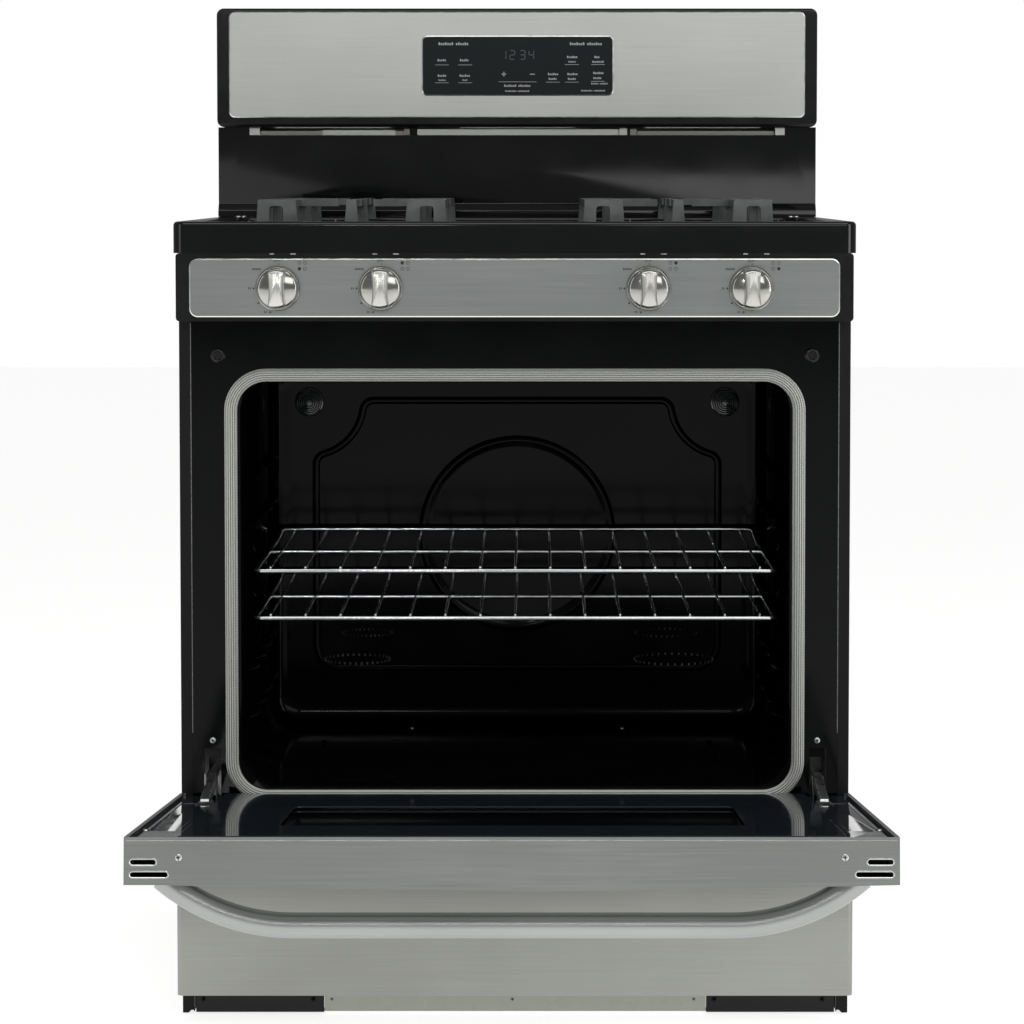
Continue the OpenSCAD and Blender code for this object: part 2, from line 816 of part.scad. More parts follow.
module door_skin() {
    color("#8a8c89") swung() difference() {
        union() {
            difference() {
                translate([0, 0, door_low]) linear_extrude(door_top - door_low) door_plan(0, door_back);
                translate([0, 0, door_low + skin_t]) linear_extrude(door_top - door_low - 2 * skin_t)
                    door_plan(skin_t, door_back + 5);
                // the bottom stops short of the liner's rounded edge
                translate([-plateau_half - 46, -15, door_low - 1]) cube([2 * plateau_half + 92, 10, 4]);
            }
            // hems along the sides
            both_sides() translate([door_w / 2 - 4.5, door_back - skin_t, door_low])
                cube([4.5, skin_t, door_top - door_low]);
            // lip below the door's bottom
            difference() {
                translate([0, 0, lip_z]) linear_extrude(door_low - lip_z + 0.5) door_plan(0, -50);
                translate([0, 0, lip_z + skin_t]) linear_extrude(30) door_plan(skin_t, -45);
            }
        }
        window_cut(500, 236, 14);
        hinge_notch();
        // slots and screw holes in the top edge
        both_sides() {
            translate([358.7, -34.3, door_top - 5]) linear_extrude(10) slot(25, 5);
            translate([353, -46.4, door_top - 5]) linear_extrude(10) slot(36.6, 5);
        }
    }
}

module door_window() {
    color("#0c0d0e") swung() face_plate(door_face + skin_t + 0.2, 4) translate([0, window_z]) round_rect(524, 260, 8);
}

module door_liner() {
    top = door_top - skin_t;
    low = door_low + 0.5;
    t = 1;
    color("#111313") swung() difference() {
        union() {
            face_plate(liner_y - t, t) translate([0, (top + low) / 2])
                square([door_w - 2 * skin_t - 0.2, top - low - 0.2], center = true);
            // raised middle
            face_plate(liner_y - t, plateau_y - liner_y + t) translate([0, (top - 6 + low + 10) / 2])
                round_rect(2 * plateau_half, top - low - 16, 8);
            // side walls that stiffen the pressing
            both_sides() translate([door_w / 2 - 9, -40, low + 14]) cube([1.5, 40 + liner_y, top - low - 20]);
        }
        // the raised middle is hollow behind
        face_plate(liner_y - t - 5, plateau_y - liner_y + 5) translate([0, (top - 6 + low + 10) / 2])
            round_rect(2 * plateau_half - 4, top - low - 20, 6);
        // long recesses down the sides
        both_sides() face_plate(liner_y - 0.6, 2) translate([351, 507]) round_rect(30, 344, 4);
        // window, and slots for the hinges
        face_plate(-30, 30) translate([0, window_z]) round_rect(470, 232, 10);
        both_sides() translate([hinge_x - 7.6, -30, door_low - 2]) cube([15.2, 30, 366 - door_low + 2]);
    }
}

module door_inner_glass() {
    color("#1e2329") swung() face_plate(plateau_y - 7, 4) translate([0, window_z]) round_rect(496, 258, 6);
}

module door_handle() {
    r = handle_dia / 2;
    straight = 215;
    run = 129;                      // length of each bent end along the door
    drop = 43;                      // stand-off of the tube's axis from the door
    reach = drop + 4;
    bend = 2 * atan(reach / run);
    bend_r = run / sin(bend);
    z = door_top - 36;
    color("#a6a8a6") swung() difference() {
        union() {
            rod([-straight, door_face - drop, z], [straight, door_face - drop, z], r);
            both_sides() translate([straight, door_face - drop + bend_r, z])
                rotate([0, 0, -90]) rotate_extrude(angle = bend) translate([bend_r, 0]) circle(r);
        }
        translate([0, 0, 600]) linear_extrude(300) door_plan(0, 0);
    }
}

module hinge_housings() {
    wall = 1.2;
    gap = 8;                        // half the width inside a housing
    color("#a6a8a3") swung() both_sides() translate([hinge_x, 0, 0]) {
        for (s = [-1, 1]) difference() {
            translate([s > 0 ? gap : -gap - wall, -50, 262]) cube([wall, 35, 138]);
        }
        for (s = [-1, 1]) side_plate(s > 0 ? gap : -gap - wall, wall) polygon([
            [-50, 262], [-26, 240], [-15, 240], [-15, 262]
        ]);
        translate([-gap - wall, -50, 262]) cube([2 * gap + 2 * wall, wall, 138]);
        translate([-gap - 0.2, hinge_y, hinge_z]) rotate([0, 90, 0]) cylinder(r = 3, h = 2 * gap + 0.4);
    }
}

module door_screws() {
    color("#b9bbb8") swung() both_sides() {
        translate([324.2, -29.8, door_top]) rotate([-90, 0, 0]) screw(3.4);
        translate([369, liner_y, 669]) rotate([0, 0, 180]) screw(3);
    }
}

// ---------- hinges ----------

// what the body holds: two plates with the door's pivot hole and the pin that the link turns on
module hinge_receivers() {
    inner = link_w / 2 + 0.35;
    t = 1.5;
    color("#c4c6c2") both_sides() translate([hinge_x, 0, 0]) {
        for (s = [-1, 1]) difference() {
            side_plate(s > 0 ? inner : -inner - t, t) {
                translate([hinge_y, hinge_z]) circle(6.5);
                polygon([[hinge_y - 3.5, hinge_z + 5.4], [hinge_y + 4, hinge_z - 5.1], [12, 254], [12, 276], [-6, 274]]);
                translate([4, 254]) square([26, 22]);
            }
            translate([-20, hinge_y, hinge_z]) rotate([0, 90, 0]) cylinder(r = 3 + pin_gap, h = 40);
        }
        translate([-inner - t, 27, 254]) cube([2 * inner + 2 * t, 3, 36]);
        translate([-inner - t, link_y, link_z]) rotate([0, 90, 0]) cylinder(r = pin_r, h = 2 * inner + 2 * t);
    }
}

module hinge_link(side) {
    color("#d4d6d4") translate([side * hinge_x, 0, 0]) difference() {
        side_plate(-link_w / 2, link_w) translate([link_y, link_z]) rotate(link_angle) {
            circle(6);
            translate([0, -6]) square([link_len - 4, 12]);
            translate([link_len - 5, 0]) round_rect(10, 12, 4);
        }
        translate([-20, link_y, link_z]) rotate([0, 90, 0]) cylinder(r = pin_r + pin_gap, h = 40);
    }
}

// ---------- racks ----------

module rack(level) {
    z = rack_z(level);
    half = rack_w / 2 - rail_r;
    back = rack_front + rack_d;
    wire_z = z + rail_r + wire_r - weld;
    rear_z = wire_z + wire_r + rail_r - weld;
    wire_x = [for (i = [0:rack_wires - 1]) (i - (rack_wires - 1) / 2) * rack_pitch_x];
    color("#d0d2d2") {
        rod([-half, rack_front, z], [half, rack_front, z], rail_r);
        for (x = [-half, half]) {
            rod([x, rack_front, z], [x, back, z], rail_r);
            translate([x, rack_front, z]) sphere(r = rail_r);
            translate([x, back, z]) sphere(r = rail_r);
            rod([x, back, z], [x, back, rear_z], rail_r);
            translate([x, back, rear_z]) sphere(r = rail_r);
        }
        rod([-half, back, rear_z], [half, back, rear_z], rail_r);
        rod([-half, rack_front + rack_d / 2, wire_z - 2 * wire_r + weld],
            [half, rack_front + rack_d / 2, wire_z - 2 * wire_r + weld], wire_r + 0.2);
        for (x = wire_x) {
            rod([x, rack_front - 1, wire_z], [x, back + 1, wire_z], wire_r);
            translate([x, rack_front - 1, wire_z]) sphere(r = wire_r);
        }
    }
}

// ---------- drawer ----------

module drawer_front() {
    h = drawer_top - drawer_bottom;
    depth = 15;
    color("#9c9d97") difference() {
        face_plate(drawer_face, depth) translate([0, drawer_bottom + h / 2]) round_rect(drawer_w, h, 2);
        face_plate(drawer_face + 1, depth - 2) translate([0, drawer_bottom + h / 2]) round_rect(drawer_w - 2, h - 2, 1);
    }
}

module drawer_box() {
    y0 = drawer_face + 15;
    color("#a9aba6") {
        difference() {
            translate([-drawer_half, y0, 50]) cube([2 * drawer_half, drawer_back - y0, 132]);
            translate([-drawer_half + 1, y0 + 1, 51]) cube([2 * drawer_half - 2, drawer_back - y0 - 2, 140]);
        }
        // runners along the sides
        both_sides() translate([drawer_half - 0.5, 8, 66]) cube([5, drawer_back - 20, 10]);
    }
}

module drawer_rails() {
    color("#b4b6b0") both_sides() difference() {
        translate([drawer_half + 2, 13.5, 58]) cube([body_w / 2 - sheet - drawer_half - 2, 432, 26]);
        translate([drawer_half + 1, 5, 58 + 7.4]) cube([7, 450, 11.2]);
        translate([drawer_half + 9.5, 5, 57]) cube([body_w / 2 - sheet - drawer_half - 16, 450, 20]);
    }
}

// ---------- the range ----------

module placed() translate([0, shift_y, 0]) children();

placed() side_panels();
placed() rear_panel();
placed() base_rails();
placed() front_frame();
placed() oven_liner();
placed() rack_guides();
placed() oven_floor();
placed() oven_gasket();
placed() oven_lamps();
placed() broil_burner();
placed() bake_burner();
placed() burner_box();
placed() temperature_probe();
placed() insulation();
placed() flue_duct();
placed() cooktop();
placed() burner_heads();
placed() burner_caps();
placed() grates(-1);  // grates_left
placed() grates(1);  // grates_right
placed() manifold_pipe();
placed() gas_valves();
placed() gas_regulator();
placed() control_panel();
placed() control_trim();
placed() console_shell();
placed() console_trim();
placed() display_glass();
placed() control_board();
placed() riser_panel();
placed() vent_grille();
placed() backguard_cover();
placed() kick_brackets();
placed() kick_rail();
placed() levelling_legs();
placed() cord_gland();
placed() hinge_receivers();
placed() body_screws();
placed() drawer_rails();
for (i = [0:3]) {
    placed() valve_stem(i);
    placed() knob(i);
}
placed() door_skin();
placed() door_window();
placed() door_liner();
placed() door_inner_glass();
placed() door_handle();
placed() hinge_housings();
placed() door_screws();
placed() hinge_link(-1);  // hinge_link_left
placed() hinge_link(1);  // hinge_link_right
placed() rack(3);  // rack_upper
placed() rack(2);  // rack_lower
placed() drawer_front();
placed() drawer_box();
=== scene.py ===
import json
import math

import bmesh
import bpy
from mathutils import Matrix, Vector


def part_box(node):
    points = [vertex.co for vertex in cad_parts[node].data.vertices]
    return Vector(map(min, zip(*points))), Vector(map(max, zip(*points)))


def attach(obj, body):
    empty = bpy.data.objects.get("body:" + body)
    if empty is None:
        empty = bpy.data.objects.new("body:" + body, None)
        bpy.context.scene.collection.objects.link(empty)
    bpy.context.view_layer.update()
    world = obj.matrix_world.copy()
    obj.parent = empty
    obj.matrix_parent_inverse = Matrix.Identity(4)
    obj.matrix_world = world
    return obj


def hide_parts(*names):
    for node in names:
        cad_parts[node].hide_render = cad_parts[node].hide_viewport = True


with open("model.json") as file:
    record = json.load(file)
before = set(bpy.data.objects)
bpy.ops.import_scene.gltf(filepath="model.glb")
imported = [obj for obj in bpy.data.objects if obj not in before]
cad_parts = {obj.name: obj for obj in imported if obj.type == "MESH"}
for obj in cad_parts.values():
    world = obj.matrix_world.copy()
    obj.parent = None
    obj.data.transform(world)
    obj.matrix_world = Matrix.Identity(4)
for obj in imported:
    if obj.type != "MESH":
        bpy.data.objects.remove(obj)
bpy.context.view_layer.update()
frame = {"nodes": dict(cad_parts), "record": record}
nodes = frame["nodes"]
rootBody = "range_body"

# every place below is in millimetres from the oven's front plane, which the frame holds shiftY back
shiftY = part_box("front_frame")[1].y * 1000 - 14


def place(x, y, z):
    return Vector((x, y + shiftY, z)) / 1000


def bodyOf(node):
    return next(body for body, names in frame["record"]["behaviour"]["bodies"].items() if node in names)


def linear(hexColour):
    channels = [int(hexColour[i:i + 2], 16) / 255 for i in (1, 3, 5)]
    return [c / 12.92 if c <= 0.04045 else ((c + 0.055) / 1.055) ** 2.4 for c in channels] + [1.0]


def addNode(tree, kind, inputs=None, **settings):
    node = tree.nodes.new(kind)
    for name, value in settings.items():
        setattr(node, name, value)
    for name, value in (inputs or {}).items():
        socket = node.inputs[name]
        if isinstance(value, bpy.types.NodeSocket):
            tree.links.new(value, socket)
        else:
            socket.default_value = value
    return node


def startMaterial(name, shaderInputs):
    material = bpy.data.materials.new(name)
    material.use_nodes = True
    tree = material.node_tree
    tree.nodes.clear()
    shader = addNode(tree, "ShaderNodeBsdfPrincipled", shaderInputs)
    addNode(tree, "ShaderNodeOutputMaterial", {"Surface": shader.outputs[0]})
    return material, tree, shader


def mixedColour(tree, factor, low, high):
    ramp = addNode(tree, "ShaderNodeValToRGB", {"Fac": factor})
    ramp.color_ramp.elements[0].color = linear(low)
    ramp.color_ramp.elements[1].color = linear(high)
    return ramp.outputs["Color"]


def spread(tree, value, low, high, fromLow=0.3, fromHigh=0.7):
    inputs = {"Value": value, "From Min": fromLow, "From Max": fromHigh, "To Min": low, "To Max": high}
    return addNode(tree, "ShaderNodeMapRange", inputs).outputs["Result"]


def noiseAt(tree, size, scale=(1, 1, 1), detail=3, turn=(0, 0, 0)):
    # size is the pattern's own size in millimetres
    where = addNode(tree, "ShaderNodeTexCoord").outputs["Object"]
    mapped = addNode(tree, "ShaderNodeMapping", {"Vector": where, "Scale": scale, "Rotation": turn})
    inputs = {"Vector": mapped.outputs[0], "Scale": 1000 / size, "Detail": detail}
    return addNode(tree, "ShaderNodeTexNoise", inputs).outputs["Fac"]


def bumpFrom(tree, shader, height, strength, depth):
    bump = addNode(tree, "ShaderNodeBump", {"Height": height, "Strength": strength, "Distance": depth / 1000})
    tree.links.new(bump.outputs["Normal"], shader.inputs["Normal"])


# Brushed 430 stainless: a belt leaves fine level lines, which stretch highlights up and down.
# Real lines are 0.1 mm apart; these are drawn a millimetre apart so that they show.
def brushedStainless(name, low, high, roughness=0.36, along="x"):
    material, tree, shader = startMaterial(name, {"Metallic": 1.0})
    squeeze = {"x": (0.006, 1, 1), "z": (1, 1, 0.006)}[along]
    lines = noiseAt(tree, 0.7, squeeze, 2)
    haze = noiseAt(tree, 190, (1, 1, 1), 2)
    both = addNode(tree, "ShaderNodeMath", {0: lines, 1: haze}, operation="ADD").outputs[0]
    half = addNode(tree, "ShaderNodeMath", {0: both, 1: 0.5}, operation="MULTIPLY").outputs[0]
    tone = spread(tree, half, 0, 1, 0.36, 0.64)
    tree.links.new(mixedColour(tree, tone, low, high), shader.inputs["Base Color"])
    tree.links.new(spread(tree, lines, roughness - 0.03, roughness + 0.04), shader.inputs["Roughness"])
    bumpFrom(tree, shader, lines, 0.025, 0.2)
    return material


# Porcelain enamel on pressed steel: glass fused at 800 degrees, deep and wet-looking, with a faint orange peel.
def porcelainEnamel(name, low, high, roughness=0.09, level=0.28, peel=0.03):
    material, tree, shader = startMaterial(name, {"Specular IOR Level": level, "IOR": 1.52})
    clouds = noiseAt(tree, 60, detail=4)
    tree.links.new(mixedColour(tree, clouds, low, high), shader.inputs["Base Color"])
    tree.links.new(spread(tree, clouds, roughness - 0.02, roughness + 0.03), shader.inputs["Roughness"])
    bumpFrom(tree, shader, noiseAt(tree, 4, detail=2), peel, 0.3)
    return material


# Powder-coated cold-rolled steel: a fine leathery grain of about 1 mm that breaks up reflections.
def texturedPaint(name, low, high):
    material, tree, shader = startMaterial(name, {"Specular IOR Level": 0.22})
    grain = noiseAt(tree, 1.6, detail=3)
    tree.links.new(mixedColour(tree, grain, low, high), shader.inputs["Base Color"])
    tree.links.new(spread(tree, grain, 0.38, 0.55), shader.inputs["Roughness"])
    bumpFrom(tree, shader, grain, 0.45, 0.35)
    return material


# Satin black stoving paint: smooth, half dull, slightly uneven.
def satinPaint(name, low, high, roughness=0.3):
    material, tree, shader = startMaterial(name, {"Specular IOR Level": 0.25})
    clouds = noiseAt(tree, 30, detail=4)
    tree.links.new(mixedColour(tree, clouds, low, high), shader.inputs["Base Color"])
    tree.links.new(spread(tree, clouds, roughness - 0.04, roughness + 0.05), shader.inputs["Roughness"])
    bumpFrom(tree, shader, noiseAt(tree, 1.2), 0.05, 0.2)
    return material


# Hot-dip galvanised steel: zinc crystals 10 to 15 mm across, each a slightly different grey.
def galvanisedSteel(name, low, high):
    material, tree, shader = startMaterial(name, {"Metallic": 0.85})
    where = addNode(tree, "ShaderNodeTexCoord").outputs["Object"]
    crystals = addNode(tree, "ShaderNodeTexVoronoi", {"Vector": where, "Scale": 80}).outputs["Color"]
    grey = addNode(tree, "ShaderNodeRGBToBW", {"Color": crystals}).outputs[0]
    tree.links.new(mixedColour(tree, grey, low, high), shader.inputs["Base Color"])
    tree.links.new(spread(tree, grey, 0.34, 0.52, 0, 1), shader.inputs["Roughness"])
    bumpFrom(tree, shader, noiseAt(tree, 3), 0.06, 0.2)
    return material


# Bare or plated metal with a little unevenness: zinc, nickel, chrome, brass, heat-stained steel or aluminium.
def plainMetal(name, low, high, roughness, size=12, bump=0.02, depth=0.1):
    material, tree, shader = startMaterial(name, {"Metallic": 1.0})
    clouds = noiseAt(tree, size, detail=4)
    tree.links.new(mixedColour(tree, clouds, low, high), shader.inputs["Base Color"])
    tree.links.new(spread(tree, clouds, roughness * 0.8, roughness * 1.25), shader.inputs["Roughness"])
    bumpFrom(tree, shader, noiseAt(tree, size / 8, detail=2), bump, depth)
    return material


# Enamelled cast iron: matt, with a sand-cast grain of about a millimetre.
def castIron(name, low, high):
    material, tree, shader = startMaterial(name, {"Specular IOR Level": 0.55})
    grain = noiseAt(tree, 1.8, detail=4)
    tree.links.new(mixedColour(tree, noiseAt(tree, 14, detail=3), low, high), shader.inputs["Base Color"])
    tree.links.new(spread(tree, grain, 0.3, 0.46), shader.inputs["Roughness"])
    bumpFrom(tree, shader, grain, 0.35, 0.4)
    return material


# Glass-fibre cord knitted over a wire core: six ribs lengthways, crossed by 1.5 mm stitches. The valleys
# between the ribs and the gaps between the stitches are darkened as painted shade; the fuzz is the yarn's own
# uneven tone.
# The cord's own map is in millimetres along and runs from 0 to 1 across.
def wovenFibre(name, low, high):
    material, tree, shader = startMaterial(name, {"Roughness": 0.85, "Sheen Weight": 0.15})
    where = addNode(tree, "ShaderNodeUVMap", uv_map="along").outputs[0]
    apart = addNode(tree, "ShaderNodeSeparateXYZ", {"Vector": where})
    acrossRibs = {0: apart.outputs["Y"], 1: math.pi * 2 * 6}
    turns = addNode(tree, "ShaderNodeMath", acrossRibs, operation="MULTIPLY").outputs[0]
    valley = addNode(tree, "ShaderNodeMath", {0: turns}, operation="COSINE").outputs[0]
    # painted shade in the valleys between the ribs
    valleyShade = spread(tree, valley, 1, 0.25, 0.1, 1)
    slant = addNode(tree, "ShaderNodeMath", {0: turns, 1: 0.35}, operation="MULTIPLY").outputs[0]
    stitches = addNode(tree, "ShaderNodeMath", {0: apart.outputs["X"], 1: 3.6}, operation="MULTIPLY").outputs[0]
    leant = addNode(tree, "ShaderNodeMath", {0: stitches, 1: slant}, operation="ADD").outputs[0]
    wave = addNode(tree, "ShaderNodeMath", {0: leant}, operation="SINE").outputs[0]
    # painted shade in the gaps between the stitches
    stitchShade = spread(tree, wave, 0.62, 1, -1, 0.6)
    fuzz = spread(tree, noiseAt(tree, 1.2, detail=4), 0.75, 1)
    loops = addNode(tree, "ShaderNodeMath", {0: stitchShade, 1: fuzz}, operation="MULTIPLY").outputs[0]
    shadedYarn = addNode(tree, "ShaderNodeMath", {0: loops, 1: valleyShade}, operation="MULTIPLY").outputs[0]
    tone = spread(tree, shadedYarn, 0, 1, 0.15, 0.95)
    tree.links.new(mixedColour(tree, tone, low, high), shader.inputs["Base Color"])
    bumpFrom(tree, shader, shadedYarn, 0.6, 0.7)
    return material


# Soda-lime glass with a black or grey ceramic print fired on its back: a hard mirror over a dark ground.
def printedGlass(name, colour, roughness=0.03, level=0.5):
    material, tree, shader = startMaterial(name, {"IOR": 1.52, "Specular IOR Level": level})
    clouds = noiseAt(tree, 120, detail=2)
    shader.inputs["Base Color"].default_value = linear(colour)
    tree.links.new(spread(tree, clouds, roughness, roughness + 0.02), shader.inputs["Roughness"])
    return material


# Borosilicate lamp lens: ribbed, grey against the dark oven because no lamp is lit behind it.
def lampGlass(name):
    material, tree, shader = startMaterial(name, {"IOR": 1.47, "Roughness": 0.1, "Specular IOR Level": 0.9})
    tree.links.new(mixedColour(tree, noiseAt(tree, 9), "#161918", "#343938"), shader.inputs["Base Color"])
    return material


# Loose or matt stuff with a visible grain: mineral wool, rubber, ceramic, printed ink, lacquered board.
def mattStuff(name, low, high, roughness, size, bump, depth, level=0.4):
    material, tree, shader = startMaterial(name, {"Specular IOR Level": level})
    grain = noiseAt(tree, size, detail=5)
    tree.links.new(mixedColour(tree, grain, low, high), shader.inputs["Base Color"])
    tree.links.new(spread(tree, grain, roughness - 0.04, roughness + 0.06), shader.inputs["Roughness"])
    bumpFrom(tree, shader, grain, bump, depth)
    return material


# The facings are one brushed stainless; the console, control panel, door and drawer copies differ in tone only
# as painted light and shade, the console lightest and the control panel darkest.
consoleSteel = brushedStainless("brushedStainlessConsole", "#B4B6B2", "#C0C2BE", 0.36)
panelSteel = brushedStainless("brushedStainlessPanel", "#868A88", "#929593", 0.34)
doorSteel = brushedStainless("brushedStainlessDoor", "#8F9290", "#9B9D9B", 0.34)
drawerSteel = brushedStainless("brushedStainlessDrawer", "#949590", "#A0A19C", 0.4)
handleSteel = brushedStainless("satinStainlessTube", "#9EA19F", "#A9ACAA", 0.36)
glossEnamel = porcelainEnamel("porcelainEnamelGloss", "#090A0A", "#0E0F0F", 0.09, 0.36)
linerEnamel = porcelainEnamel("porcelainEnamelDoor", "#262B31", "#2E343C", 0.05, 0.6, 0.015)
frameEnamel = porcelainEnamel("porcelainEnamelFrame", "#040505", "#080909", 0.09, 0.1)
ovenEnamel = porcelainEnamel("porcelainEnamelOven", "#020202", "#040505", 0.1, 0.08, 0.04)
sidePaint = texturedPaint("texturedPowderCoat", "#040404", "#070808")
blackPaint = satinPaint("satinStovingPaint", "#0A0B0B", "#101111", 0.22)
galvanised = galvanisedSteel("galvanisedSteel", "#9A9D93", "#A8ABA1")
zincPlate = plainMetal("brightZincPlate", "#C6C9C7", "#E2E4E2", 0.3)
blackZinc = plainMetal("blackZincPlate", "#2E302F", "#4A4D4B", 0.35)
fibreCord = wovenFibre("wovenGlassFibre", "#4A4C49", "#D6D8D1")
darkGlass = printedGlass("blackPrintedGlass", "#0A0C10")
keyGlass = printedGlass("greyPrintedGlass", "#1E2224", 0.08, 0.3)
lampLens = lampGlass("borosilicateLens")
grateIron = castIron("enamelledCastIron", "#3A3D3C", "#696D6B")
alloy = plainMetal("castAluminium", "#A9ABA8", "#C4C6C3", 0.42, 6, 0.15, 0.3)
heatedSteel = plainMetal("heatStainedSteel", "#6F6E69", "#94938D", 0.4, 20)
brass = plainMetal("machinedBrass", "#B9923F", "#D8B563", 0.25)
pipeSteel = plainMetal("zincPlatedPipe", "#8F928F", "#A9ACA9", 0.38)
chromeWire = plainMetal("chromePlatedWire", "#D2D5D6", "#E8EAEA", 0.12)
nickel = plainMetal("polishedNickel", "#A9A9A3", "#BDBDB7", 0.13)
gripNickel = brushedStainless("brushedNickelGrip", "#BDBDB6", "#D2D2CC", 0.27, "z")
wool = mattStuff("mineralWool", "#B9AE76", "#E4DBAB", 0.92, 3, 0.8, 2.0)
board = mattStuff("lacqueredCircuitBoard", "#214A31", "#2F6646", 0.35, 5, 0.1, 0.2)
rubber = mattStuff("mouldedRubber", "#111212", "#1C1D1D", 0.6, 2, 0.15, 0.2)
silverInk = mattStuff("silverPrint", "#9DA1A2", "#B4B8B9", 0.5, 2, 0.02, 0.1)
dimInk = mattStuff("dimDisplaySegments", "#454B4D", "#505658", 0.4, 3, 0.02, 0.1)
# black print for marks and lines, also used as painted shade for the flame ports and the screws' cross recesses
darkPrintAndShade = mattStuff("inkAndPaintedShade", "#141515", "#1E1F1F", 0.45, 2, 0.02, 0.1)
# bright specks on black: painted glints for the side seams
seamGlintPaint = mattStuff("speckledGlintSeam", "#050606", "#8E9290", 0.5, 2.2, 0.4, 0.4)
# a steel brighter than the facings: the display rim's own silver, and painted highlight on the thin rims, hems,
# edges and marks in the gap that are drawn in it
edgeSteelAndHighlight = plainMetal("polishedEdgeAndPaintedHighlight", "#D6D8D5", "#ECEDEA", 0.2)

finishes = {
    "side_panels": sidePaint, "rear_panel": galvanised, "base_rails": galvanised,
    "front_frame": frameEnamel, "oven_liner": ovenEnamel, "rack_guides": ovenEnamel,
    "oven_floor": ovenEnamel, "oven_gasket": fibreCord, "oven_lamps": lampLens, "broil_burner": heatedSteel,
    "bake_burner": heatedSteel, "burner_box": galvanised, "temperature_probe": heatedSteel,
    "insulation": wool, "flue_duct": galvanised, "cooktop": glossEnamel, "burner_heads": alloy,
    "burner_caps": ovenEnamel, "grates_left": grateIron, "grates_right": grateIron,
    "manifold_pipe": pipeSteel, "gas_valves": brass, "gas_regulator": alloy, "control_panel": blackPaint,
    "control_trim": panelSteel, "console_shell": blackPaint, "console_trim": consoleSteel,
    "display_glass": keyGlass, "control_board": board, "riser_panel": glossEnamel,
    "vent_grille": heatedSteel, "backguard_cover": galvanised, "kick_brackets": blackPaint,
    "kick_rail": galvanised, "levelling_legs": pipeSteel, "cord_gland": rubber,
    "hinge_receivers": blackZinc, "body_screws": zincPlate, "drawer_rails": galvanised,
    "valve_stem_1": pipeSteel, "valve_stem_2": pipeSteel, "valve_stem_3": pipeSteel,
    "valve_stem_4": pipeSteel, "knob_1": nickel, "knob_2": nickel, "knob_3": nickel, "knob_4": nickel,
    "door_skin": doorSteel, "door_window": darkGlass, "door_liner": linerEnamel,
    "door_inner_glass": darkGlass, "door_handle": handleSteel, "hinge_housings": zincPlate,
    "door_screws": zincPlate, "hinge_link_left": zincPlate, "hinge_link_right": zincPlate,
    "rack_upper": chromeWire, "rack_lower": chromeWire, "drawer_front": drawerSteel,
    "drawer_box": galvanised,
}
for node, material in finishes.items():
    nodes[node].data.materials.clear()
    nodes[node].data.materials.append(material)
print("materials:", len(bpy.data.materials))


def addPiece(name, mesh, material, body, replaced=(), smooth=35):
    if material:
        mesh.materials.clear()
        mesh.materials.append(material)
    mesh.shade_smooth()
    mesh.set_sharp_from_angle(angle=math.radians(smooth))
    piece = bpy.data.objects.new(name, mesh)
    bpy.context.scene.collection.objects.link(piece)
    if replaced:
        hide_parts(*replaced)
    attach(piece, body)
    return piece


def meshFrom(name, build):
    shape = bmesh.new()
    build(shape)
    mesh = bpy.data.meshes.new(name)
    shape.to_mesh(mesh)
    shape.free()
    return mesh


# a copy of a pressed part with its sheet edges eased, as a press tool leaves them
def easedCopy(node, radius, segments=2, angle=35, material=None):
    shape = bmesh.new()
    shape.from_mesh(nodes[node].data)
    bmesh.ops.remove_doubles(shape, verts=shape.verts, dist=0.00002)
    bmesh.ops.dissolve_limit(shape, angle_limit=math.radians(2), verts=shape.verts, edges=shape.edges)
    mesh = bpy.data.meshes.new(node + "_eased")
    shape.to_mesh(mesh)
    shape.free()
    piece = addPiece(node + "_eased", mesh, material or finishes[node], bodyOf(node), [node])
    bevel = piece.modifiers.new("eased edges", "BEVEL")
    bevel.width = radius / 1000
    bevel.segments = segments
    bevel.limit_method = "ANGLE"
    bevel.angle_limit = math.radians(angle)
    bevel.harden_normals = True
    return piece


def roundedRect(width, height, radius, steps=8):
    points = []
    for corner, (sx, sz) in enumerate(((1, 1), (-1, 1), (-1, -1), (1, -1))):
        for step in range(steps + 1):
            angle = math.radians(90 * corner + 90 * step / steps)
            points.append((sx * (width / 2 - radius) + radius * math.cos(angle),
                           sz * (height / 2 - radius) + radius * math.sin(angle)))
    return points


# joins rings of points, each the same length, into a skin; ends are closed with faces
def skinRings(shape, rings, closeEnds=True, loop=False):
    made = [[shape.verts.new(point) for point in ring] for ring in rings]
    pairs = list(zip(made, made[1:])) + ([(made[-1], made[0])] if loop else [])
    for near, far in pairs:
        for i in range(len(near)):
            j = (i + 1) % len(near)
            shape.faces.new((near[i], near[j], far[j], far[i]))
    if closeEnds and not loop:
        shape.faces.new(list(reversed(made[0])))
        shape.faces.new(made[-1])
    bmesh.ops.recalc_face_normals(shape, faces=shape.faces)


view = {
    "lens": 122.89,             # mm, on a 36 mm sensor
    "aside": 22.4,              # to the right of the middle
    "distance": 3923.8,         # from the oven's front plane
    "height": 941.8,
    "shift": (-0.0223, -0.12),  # shares of the picture's width
    "tilt": 3.362,              # degrees down
}
cameraData = bpy.data.cameras.new("camera")
cameraData.lens = view["lens"]
cameraData.sensor_width = 36
cameraData.shift_x, cameraData.shift_y = view["shift"]
cameraData.clip_end = 50
camera = bpy.data.objects.new("camera", cameraData)
camera.location = place(view["aside"], -view["distance"], view["height"])
camera.rotation_euler = (math.radians(90 - view["tilt"]), 0, 0)
bpy.context.scene.collection.objects.link(camera)
bpy.context.scene.camera = camera
bpy.context.scene.view_settings.view_transform = "Standard"

